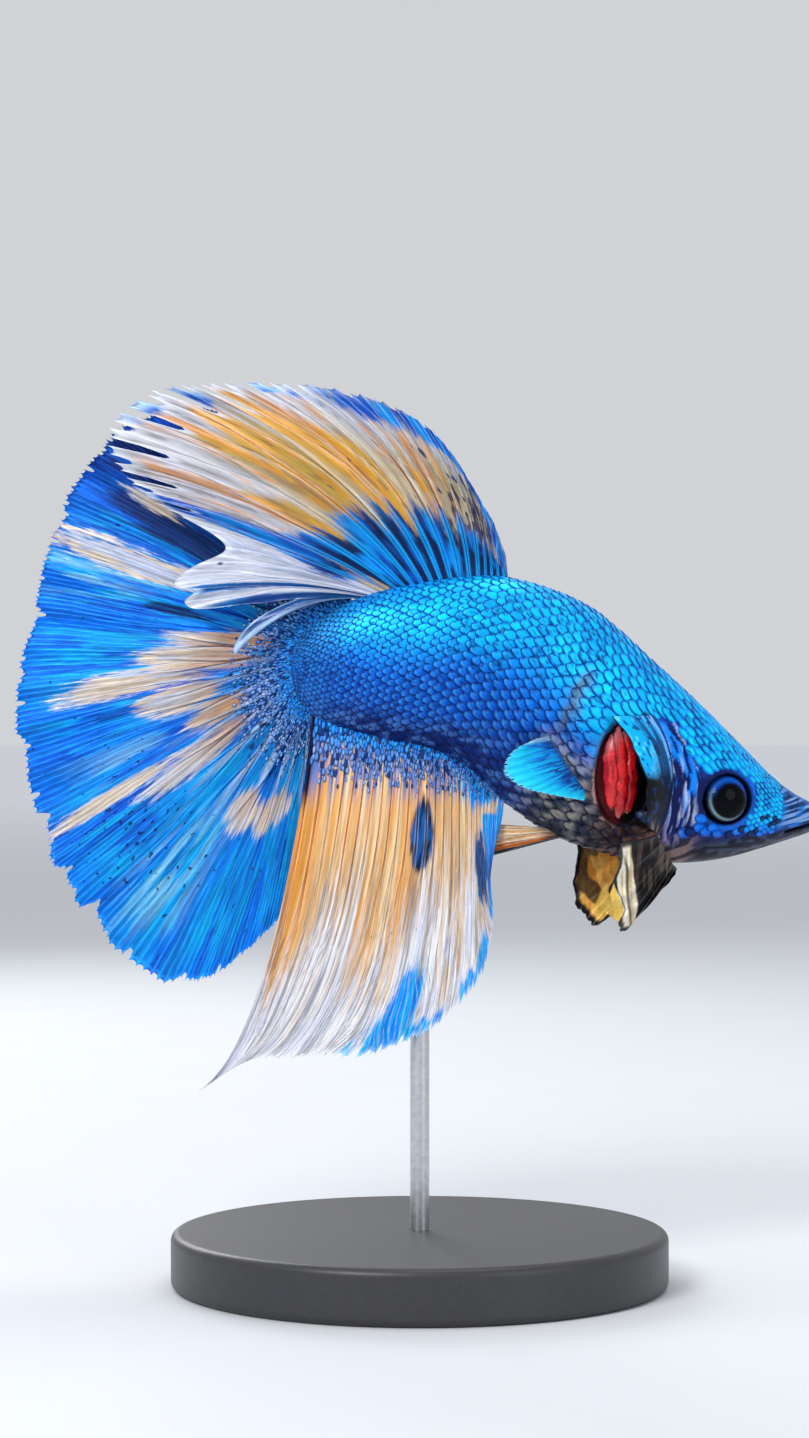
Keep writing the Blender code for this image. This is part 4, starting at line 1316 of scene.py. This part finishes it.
def make_median_fins():
    caudal = RayFan(11, (0.05, 0.20, 0.38, 0.58), 46, seed=3)
    caudal.wander(0.004, 0.05, 0.30)
    caudal.scallop(CAUDAL_STEPS)
    caudal.cut_margin(0.010, 0.026, 0.005)
    make_fin("caudal_fin_rays", CAUDAL, caudal, caudal_paint(caudal), 0.16, 22)
    dorsal = RayFan(20, (0.48, 0.74), 62, seed=4, keep_apart=0.14)
    dorsal.wander(0.006, 0.06, 0.35)
    edge = dorsal.c[:, -1]
    calm = step(0.79, 0.76, edge)
    dorsal.cut_margin(0.010 * calm, 0.03 * calm, 0.006 * calm)
    hollow = (1 - dorsal.profile[:, 0]) ** 0.7 * dorsal.notch**3
    lobes = 0.16 * span(edge, 0.36, 0.5, 0.74, 0.80) * hollow
    split = sum(depth * bell(edge, place, width) for depth, place, width in DORSAL_SPLITS)
    dorsal.v = dorsal.v * (1 - lobes - split)[:, None]
    make_fin("dorsal_fin_rays", DORSAL, dorsal, dorsal_paint(dorsal), 0.16, 13)
    anal = RayFan(27, (0.25, 0.55), 60, seed=5)
    anal.wander(0.022, 0.07, 0.20)
    anal.cut_margin(0.012, 0.050, 0.012)
    make_fin("anal_fin_rays", ANAL, anal, anal_paint(anal), 0.12, 13)
    base_scales("caudal_fin", CAUDAL, (0.03, 0.995), 0.24, 20, 92)
    base_scales("anal_fin", ANAL, (0.01, 0.985), 0.12, 11, 84)


def base_scales(kind, fin, ends, reach, rows, count):
    """Small scales over the foot of a fin, on both its sides, fewer and smaller further out."""
    name = f"{kind}_scales"
    rng = np.random.default_rng(len(name))
    back, across, height = scale_template(SMALL_SCALE_POINTS)
    pitch = (ends[1] - ends[0]) / count
    row, k = (number.ravel() for number in np.indices((rows, count)))
    c, v = ends[0] + pitch * (k + 0.5 * (row % 2)), row / rows * reach
    kept = rng.random(len(c)) > (v / reach) ** 1.5 * 0.85
    c, v = c[kept, None], v[kept, None]
    out = v / reach
    size = (1.15 - 0.50 * out) * rng.uniform(0.6, 1.2, c.shape)
    c = c + rng.normal(0, 0.15 * pitch, c.shape)
    spot_c = c + across * 0.56 * pitch * size
    spot_v = v + back * 0.80 * reach / rows * size + rng.normal(0, 0.002, c.shape)
    middle = fin_points(fin, np.clip(spot_c, 0, 1), np.clip(spot_v, 0, 1))
    tone = rng.random(c.shape)
    near = step(0.5, 0.1, out)
    dull, bright = mix((30, 104, 204), (0, 104, 226), near), mix((136, 170, 226), (40, 160, 244), near)
    rim = 0.85 * np.maximum(step(0.5, 0.9, np.hypot(back, across)), tone < 0.22)
    colours = mix(mix(dull, bright, tone), (8, 24, 76), rim)
    uv = stack(c * 0.97 + across * SCALE_PATCH, v * 0.47 + back * SCALE_PATCH) + 0.01
    faces = scale_faces(2 * len(c), SMALL_SCALE_POINTS)
    lifted = 0.11 + foot(spot_v) + height * 0.07 * size
    points = bent([middle + sideways(lifted), middle - sideways(lifted)])
    make_mesh(name, points, faces, name, kind, [uv, uv], paint=[colours, colours])


# ---------------------------------------------------------------- paired pieces


def plain_flank(x, z):
    """Half width of the solid body at (x, z), found on the cross-section that passes through it."""
    low, high = 0.0, float(LAST)
    for _ in range(40):
        t = (low + high) / 2
        top_x, top_z, low_x, low_z, half_width = smooth(STATIONS, t)
        if (x - low_x) * (top_z - low_z) - (z - low_z) * (top_x - low_x) > 0:
            low = t
        else:
            high = t
    height = 2 * (z - low_z) / (top_z - low_z) - 1
    return half_width * math.sqrt(max(1 - height**2, 0)) * (1 + BELLY_TAPER * height)


def off_flank(line, sink):
    """A line of (x, z) points, standing off the flank as the middle of a membrane, then sunk by sink."""
    return [(x, plain_flank(x, z) + SOLID_GAP + FIN_SOLID / 2 - sink, z) for x, z in line]


def moved(line, *by):
    return np.array(line) + by


def patch_points(inner, outer, u, v, bulge):
    """Straight-fish points of a membrane between two edges; u runs along the edges, v across."""
    near = smooth(inner, u * (len(inner) - 1))
    far = smooth(outer, u * (len(outer) - 1))
    return near + (far - near) * v[..., None] + sideways(bulge * 4 * v * (1 - v))


def sheet_grid(columns, rows):
    return np.meshgrid(np.linspace(0, 1, columns), np.linspace(0, 1, rows), indexing="ij")


def make_pectorals():
    fan = RayFan(12, (0.30, 0.62), 40, seed=8)
    fan.cut_margin(0.02, 0.05, 0.01)
    u, v = fan.c, fan.v
    middle = patch_points(off_flank(PECTORAL_BASE, 0.75), PECTORAL_EDGE, u, v, PAIRED_FIN_BULGE)
    middle[..., 1] += 0.07 * v * np.sin(2 * np.pi * 12 * u)
    thick = 0.03 + 0.05 * fan.profile * (1 - 0.6 * v) + 0.16 * bell(v, 0, 0.12)
    thin = fan.streaks(0.02, 0.4, 0.4, 0.6, 101)
    base = step(0.50, 0.05, v + 0.4 * (thin - 0.5) - 0.25 * step(0.5, 0.1, u))
    colours = painted(
        mix((0, 192, 255), (70, 220, 255), step(0.3, 0.9, v)),
        ((0, 92, 226), 0.85 * base),
        ((4, 34, 110), 0.7 * step(0.45, 0.20, v) * step(0.40, 0.20, thin)),
        ((200, 230, 250), np.clip(0.75 * step(0.16, 0.05, u) + 0.5 * step(0.9, 1, v), 0, 1)),
        ((70, 84, 110), 0.7 * step(0.12, 0.02, v)),
    )
    cover = 0.30 * step(0.55, 0.2, v)
    layers = dict(paint=colours, second=ink(6, 70, 190), cover=cover, speck=0.1, gleam=0.20)
    make_pair("pectoral_fin", middle, thick, u, v, ridge=fan.profile, **layers)


def make_pelvics():
    fan = RayFan(4, (0.35, 0.65), 70, seed=9)
    fan.cut_margin(0.02, 0.10, 0.02)
    u, v = fan.c, fan.v
    middle = patch_points(moved(PELVIC_BASE, 0.5, 0, 0.45), PELVIC_EDGE, u, v, PAIRED_FIN_BULGE)
    thick = 0.05 + 0.07 * fan.profile * (1 - 0.6 * v) + 0.12 * bell(v, 0, 0.10)
    thin = fan.streaks(0.06, 0.3, 0.35, 0.65, 111)
    colours = painted(
        mix((226, 172, 116), (236, 208, 172), thin),
        ((216, 112, 26), step(0.56, 0.34, u + 0.2 * (thin - 0.5))),
        ((36, 20, 18), step(0.30, 0.20, u + 0.12 * (thin - 0.5))),
        ((60, 50, 56), 0.8 * step(0.20, 0.0, v)),
        ((196, 210, 244), step(0.6, 1.0, v)),
    )
    layers = dict(paint=colours, second=ink(150, 96, 60), cover=0.25, speck=0.15, gleam=0.0)
    make_pair("pelvic_fin", middle, thick, u, v, PELVIC_LEAN, ridge=fan.profile, **layers)


def seen_from_right(points):
    """x and height of straight-fish points as they appear to someone in front of the right flank."""
    x, y, z = np.moveaxis(bent(points), -1, 0)
    nearness = 1 + (y - BODY_Y) / CAMERA_DISTANCE
    return CAMERA_X + (x - CAMERA_X) / nearness, CAMERA_HEIGHT + (z - CAMERA_HEIGHT) / nearness


def make_gill_covers():
    u, v = sheet_grid(*GILL_COVER_GRID)
    hinge = moved(off_flank(GILL_COVER_HINGE, 0.78), 0.35, 0, 0)
    middle = patch_points(hinge, GILL_COVER_EDGE, u, v, GILL_COVER_BULGE)
    ripple = noise((0.05, 0.3), 121, u, v) - 0.5
    folds = 0.65 * noise((0.42, 0.07), 122, u, v) + 0.35 * noise((0.16, 0.035), 126, u, v)
    middle[..., 1] += 0.10 * ripple * v + 0.24 * (folds - 0.5) * step(0.85, 0.45, v)
    middle[..., 0] += 0.25 * (noise((0.09, 1.0), 125, u, v) - 0.5) * v
    thin_edge, thin_ends = np.clip(1 - v**3, 0.02, 1), np.clip(1 - (2 * u - 1) ** 8, 0.05, 1)
    thick = 0.15 * np.sqrt(thin_edge) * np.sqrt(thin_ends) + 0.02
    broad, fine = noise((0.16, 0.18), 123, u, v), noise((0.04, 0.07), 124, u, v)
    # The lower part of the cover: painted shadow, black with a little dark blue.
    low = step(0.38, 0.52, u + 0.14 * (broad - 0.5) + 0.08 * (fine - 0.5))
    outer = painted(
        mix(SKY, CYAN, 0.35 + 0.65 * broad),
        ((110, 216, 255), 0.6 * step(0.55, 0.75, fine) * step(0.4, 0.7, v)),
        # The folds: painted shade, navy, in their hollows and a painted lavender highlight on their
        # crests.
        (NAVY, 0.85 * step(0.50, 0.40, folds) * step(0.72, 0.48, v)),
        ((150, 186, 240), 0.7 * step(0.56, 0.64, folds) * step(0.66, 0.42, v)),
        (NAVY, 0.8 * step(0.26, 0.16, fine)),
        # painted shadow over the lower part of the cover
        (mix((3, 5, 14), (10, 44, 100), step(0.70, 0.86, fine)), low),
        (mix(ROSE, ASH, 0.6), 0.5 * step(0.86, 0.95, u) * step(0.5, 0.6, folds)),
        (BLACK, step(0.955, 0.985, np.maximum(v, 1 - u * 30))),
    )
    inner = mix(mix((150, 40, 44), BLACK, 0.55), BLACK, step(0.2, 0.8, v))
    make_pair("gill_cover", middle, thick, u, v, paint=(outer, inner))


def make_beards():
    """The membranes that hang under the open gill covers, each with folded rays."""
    u, v = sheet_grid(*BEARD_GRID)
    drift = 0.05 * (noise((0.25, 0.5), 134, u, v) - 0.5)
    fold = np.cos(2 * np.pi * BEARD_FOLDS * (u + drift))
    ragged = 0.10 * noise((0.07, 9), 135, u, v) + 0.04 * noise((0.02, 9), 136, u, v)
    reach = v * (1 - ragged * step(0.6, 1, v) * span(u, 0, 0.1, 0.9, 1))
    middle = patch_points(moved(BEARD_BASE, 0.1, -0.25, 0.45), BEARD_EDGE, u, reach, BEARD_BULGE)
    middle[..., 1] += 0.18 * fold * step(0.0, 0.4, v) * (1 - 0.3 * v)
    middle[..., 1] += 0.30 * (noise((0.12, 0.25), 137, u, v) - 0.5) * step(0.1, 0.4, v)
    thick = 0.05 + 0.07 * np.maximum(fold, 0) ** 2 * (1 - 0.5 * v) + 0.10 * bell(v, 0, 0.12)
    x, z = seen_from_right(middle)
    broad = noise((0.6, 1.2), 131, x, z) - 0.5
    fine = noise((0.16, 1.4), 132, x, z)
    slant = x + 0.06 * (z - 30)
    strip = step(0.70, 0.55, np.abs(slant - 14.75 + 0.35 * broad)) * step(34.4, 33.4, z)
    seam = bell(slant + 0.3 * broad, 14.9, 0.11) * step(31.5, 30.5, z)
    yellow = mix((214, 172, 70), (240, 204, 104), fine)
    diamond = np.abs(x - 13.95) / 0.72 + np.abs(z - 27.3) / 1.9
    kept = step(1.05, 0.92, diamond)
    outline = bell(diamond, 1.16, 0.07) * step(29.4, 28.4, z)
    ends = np.maximum(step(0.06, 0.02, u), step(0.94, 0.98, u))
    margin = np.maximum(step(0.90, 0.96, v), ends)
    outer = painted(
        mix((10, 9, 14), (92, 74, 64), 0.8 * step(0.45, 0.75, fine) * step(0.75, 0.2, v)),
        (mix((206, 188, 146), (240, 232, 216), step(0.35, 0.65, fine)), strip),
        (BLACK, 0.9 * seam),
        (yellow, kept),
        (BLACK, 0.95 * np.maximum(margin, outline) * (1 - kept)),
    )
    x, z = seen_from_right(middle * (1, -1, 1))
    ends = np.maximum(step(0.16, 0.05, u), step(0.90, 0.97, u))
    border = np.maximum(step(0.84, 0.93, v + 0.1 * broad), ends)
    inner = painted(
        mix((222, 140, 44), (250, 196, 100), fine),
        (BLACK, 0.85 * step(0.56, 0.68, noise((0.9, 1.6), 133, x, z + 0.4 * x))),
        (yellow, step(1.1, 0.9, np.abs(x - 13.4) / 0.9 + np.abs(z - 27.4) / 1.9)),
        (BLACK, border),
    )
    make_pair("beard", middle, thick, u, v, paint=(outer, inner))


def ellipsoid(centre, half, columns, rows, hand):
    """World points on an ellipsoid facing out of the flank, and their angles from and round its axis."""
    polar = np.linspace(0.002, np.pi - 0.002, rows)[:, None]
    bearing = np.linspace(0, 2 * np.pi, columns, endpoint=False)[None, :]
    x, side, z = centre
    turn = math.atan(2 * CURVE * (x - STRAIGHTEST_X))
    out = np.array((math.sin(turn), -math.cos(turn), 0)) * hand * half[1]
    ahead = np.array((math.cos(turn), math.sin(turn), 0)) * half[0]
    up = np.array((0, 0, half[2]))
    round_x, round_z = np.sin(polar) * np.cos(bearing), np.sin(polar) * np.sin(bearing)
    points = np.cos(polar)[..., None] * out + round_x[..., None] * ahead + round_z[..., None] * up
    return bent((x, hand * side, z)) + points, *np.broadcast_arrays(polar, bearing)


def shape_eye(points, polar, bearing):
    """Pupil, iris with fine rays, a pale ring and the dark rim."""
    out = np.sin(polar) * np.where(polar < np.pi / 2, 1, 2 - np.sin(polar))
    rear_low = 0.5 - 0.5 * np.cos(bearing - math.radians(50))
    upper = step(-0.1, 0.8, np.sin(bearing))
    iris = mix((6, 16, 44), (10, 44, 100), 0.5 + 0.5 * np.cos(bearing * 18))
    ring = mix((20, 60, 110), (136, 166, 160), rear_low)
    return points, painted(
        mix((1, 2, 8), iris, step(0.78, 0.83, out)),
        ((0, 84, 196), 0.85 * upper * step(0.62, 0.84, out)),
        (ring, bell(out, 0.87, 0.045) * (0.15 + 0.75 * rear_low**2)),
        (BLACK, step(0.94, 1.0, out) * (1 - 0.6 * upper)),
    )


def shape_gill(points, polar, bearing):
    """Lobes with grooves between, and the fine comb of filaments over them."""
    x, z = np.sin(polar) * np.cos(bearing), np.sin(polar) * np.sin(bearing)
    lumps = noise((0.30, 0.16), 141, x, z)
    veins = noise((0.14, 0.30), 142, x, z)
    arch = x * 1.2 + 0.30 * z**2 + 0.3 * (lumps - 0.5)
    groove = np.clip(bell(arch, 0.42, 0.09) + 0.7 * bell(arch, -0.30, 0.08), 0, 1)
    comb = 0.5 + 0.5 * np.cos(2 * np.pi * (z * 13 + x * 3 + 1.5 * lumps))
    pull = 1 - 0.15 * groove - 0.02 * comb * step(0, 0.5, x) - 0.12 * (1 - lumps) * np.abs(x)
    middle = points.mean((0, 1))
    colours = painted(
        mix(CRIMSON, SCARLET, 0.9 * step(0.40, 0.70, lumps)),
        # Darker red in the grooves between the lobes is painted shade; along the veins it is their own
        # darker red.
        ((128, 4, 18), 0.8 * np.maximum(groove, step(0.62, 0.75, veins))),
        ((176, 96, 104), 0.75 * step(0.55, 0.9, z - 0.4 * x)),
        ((206, 120, 110), 0.6 * step(-0.8, -0.98, z)),
    )
    return middle + (points - middle) * pull[..., None], colours * (0.84 + 0.16 * comb)[..., None]


def make_eyes_and_gills():
    for kind, word, centre, half, grid, shape in (
        ("eye", "ball", EYE_CENTRE, EYE_HALF, EYE_GRID, shape_eye),
        ("gill", "comb", GILL_CENTRE, GILL_HALF, GILL_GRID, shape_gill),
    ):
        for side, hand in HANDS:
            points, polar, bearing = ellipsoid(centre, half, *grid, hand)
            points, colours = shape(points, polar, bearing)
            uv = stack(bearing / (2 * np.pi), polar / np.pi)
            faces = grid_faces(*polar.shape, wrap=True)
            make_piece(f"{kind}_{side}_{word}", points, faces, uv, paint=colours)


# ---------------------------------------------------------------- stand, stage, light and camera


def make_turned(name, outline, sides):
    """A solid of revolution on the upright axis, from a line of (radius, height)."""
    around = np.linspace(0, 2 * np.pi, sides + 1)
    radius, height = np.array(outline).T[..., None]
    gone = gone_along(outline)[:, None]
    points = stack(radius * np.cos(around), radius * np.sin(around), height)
    uv = stack(around / (2 * np.pi), gone / gone[-1]) * 0.98 + 0.01
    make_piece(name, points, grid_faces(len(outline), sides + 1), uv)


def make_stand():
    turn = np.linspace(0, np.pi / 2, 8)
    inner, hole = STAND_RADIUS - STAND_EDGE, ROD_RADIUS + ROD_PLAY
    out, drop = inner + STAND_EDGE * np.sin(turn), STAND_EDGE * (1 - np.cos(turn))
    base = [
        (CENTRE_HOLE, ROD_SOCKET),
        (hole, ROD_SOCKET),
        (hole, STAND_HEIGHT - 0.05),
        (hole + 0.05, STAND_HEIGHT),
        (hole + 0.15, STAND_HEIGHT),
        (inner - 0.1, STAND_HEIGHT),
        *zip(out, STAND_HEIGHT - drop),
        (STAND_RADIUS, STAND_HEIGHT - STAND_EDGE - 0.1),
        (STAND_RADIUS, STAND_EDGE + 0.1),
        *zip(out[::-1], drop[::-1]),
        (inner - 0.1, 0),
        (CENTRE_HOLE, 0),
    ]
    make_turned("stand_base_turned", base[::-1], 160)
    low = ROD_SOCKET + 0.1
    rod = [
        (CENTRE_HOLE, low),
        (ROD_RADIUS - 0.05, low),
        (ROD_RADIUS, low + 0.05),
        (ROD_RADIUS, low + 0.1),
        (ROD_RADIUS, ROD_TOP - 0.15),
        (ROD_RADIUS, ROD_TOP - 0.1),
        (ROD_RADIUS - 0.1, ROD_TOP),
        (CENTRE_HOLE, ROD_TOP),
    ]
    make_turned("stand_rod_turned", rod, 48)


def make_stage():
    """A wide round floor, paler far from the model."""
    low, _ = solid_box
    around = np.linspace(0, 2 * np.pi, FLOOR_CORNERS, endpoint=False)
    points = stack(np.cos(around), np.sin(around), 0 * around) * FLOOR_RADIUS * MM
    points[:, 2] += low.z
    mesh = bpy.data.meshes.new("floor")
    mesh.from_pydata(points.tolist(), [], [tuple(range(FLOOR_CORNERS))])
    made, tree, shader = new_material("floor", 0.75, 0.2)
    away = node(tree, "ShaderNodeVectorMath", {0: object_vector(tree)}, operation="LENGTH")
    far = remap(tree, away.outputs["Value"], 0.15, 1.6)
    grain = noise_node(tree, object_vector(tree), 60.0, 4.0)
    colour = blend(tree, far, (208, 211, 216), (246, 248, 252))
    colour = brighter(tree, colour, remap(tree, grain, 0.2, 0.8, 0.99, 1.01))
    feed(tree, shader.inputs["Base Color"], colour)
    mesh.materials.append(made)
    floor = add_object("floor", mesh)
    floor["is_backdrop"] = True


def make_lights():
    for name, place, size, power, colour in LIGHTS:
        data = bpy.data.lights.new(name, "AREA")
        data.shape = "DISK"
        data.size = size * MM
        data.energy = power
        data.color = colour
        track = add_object(name, data, place).constraints.new("TRACK_TO")
        track.target = add_object(f"{name}_aim", None, LIGHT_TARGET)
        track.track_axis = "TRACK_NEGATIVE_Z"
        track.up_axis = "UP_Y"
    world = bpy.data.worlds.new("studio")
    world.use_nodes = True
    for key, value in SURROUNDINGS.items():
        world.node_tree.nodes["Background"].inputs[key].default_value = value
    bpy.context.scene.world = world


def make_camera():
    data = bpy.data.cameras.new("camera")
    data.lens = CAMERA_LENS
    data.sensor_width = 36.0
    data.clip_start = 0.01
    camera = add_object("camera", data, (CAMERA_X, BODY_Y - CAMERA_DISTANCE, CAMERA_HEIGHT))
    camera.rotation_euler = (math.pi / 2, 0, 0)
    bpy.context.scene.camera = camera


def main():
    surface = Surface()
    make_skin(surface)
    make_scales(surface)
    make_median_fins()
    make_pectorals()
    make_pelvics()
    make_gill_covers()
    make_beards()
    make_eyes_and_gills()
    make_stand()
    make_stage()
    make_lights()
    make_camera()
    bpy.context.scene.view_settings.view_transform = "Standard"
    finished_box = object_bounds()
    boxes = {"solids": solid_box, "visual": finished_box}
    {key: [list(corner) for corner in box] for key, box in boxes.items()}


main()
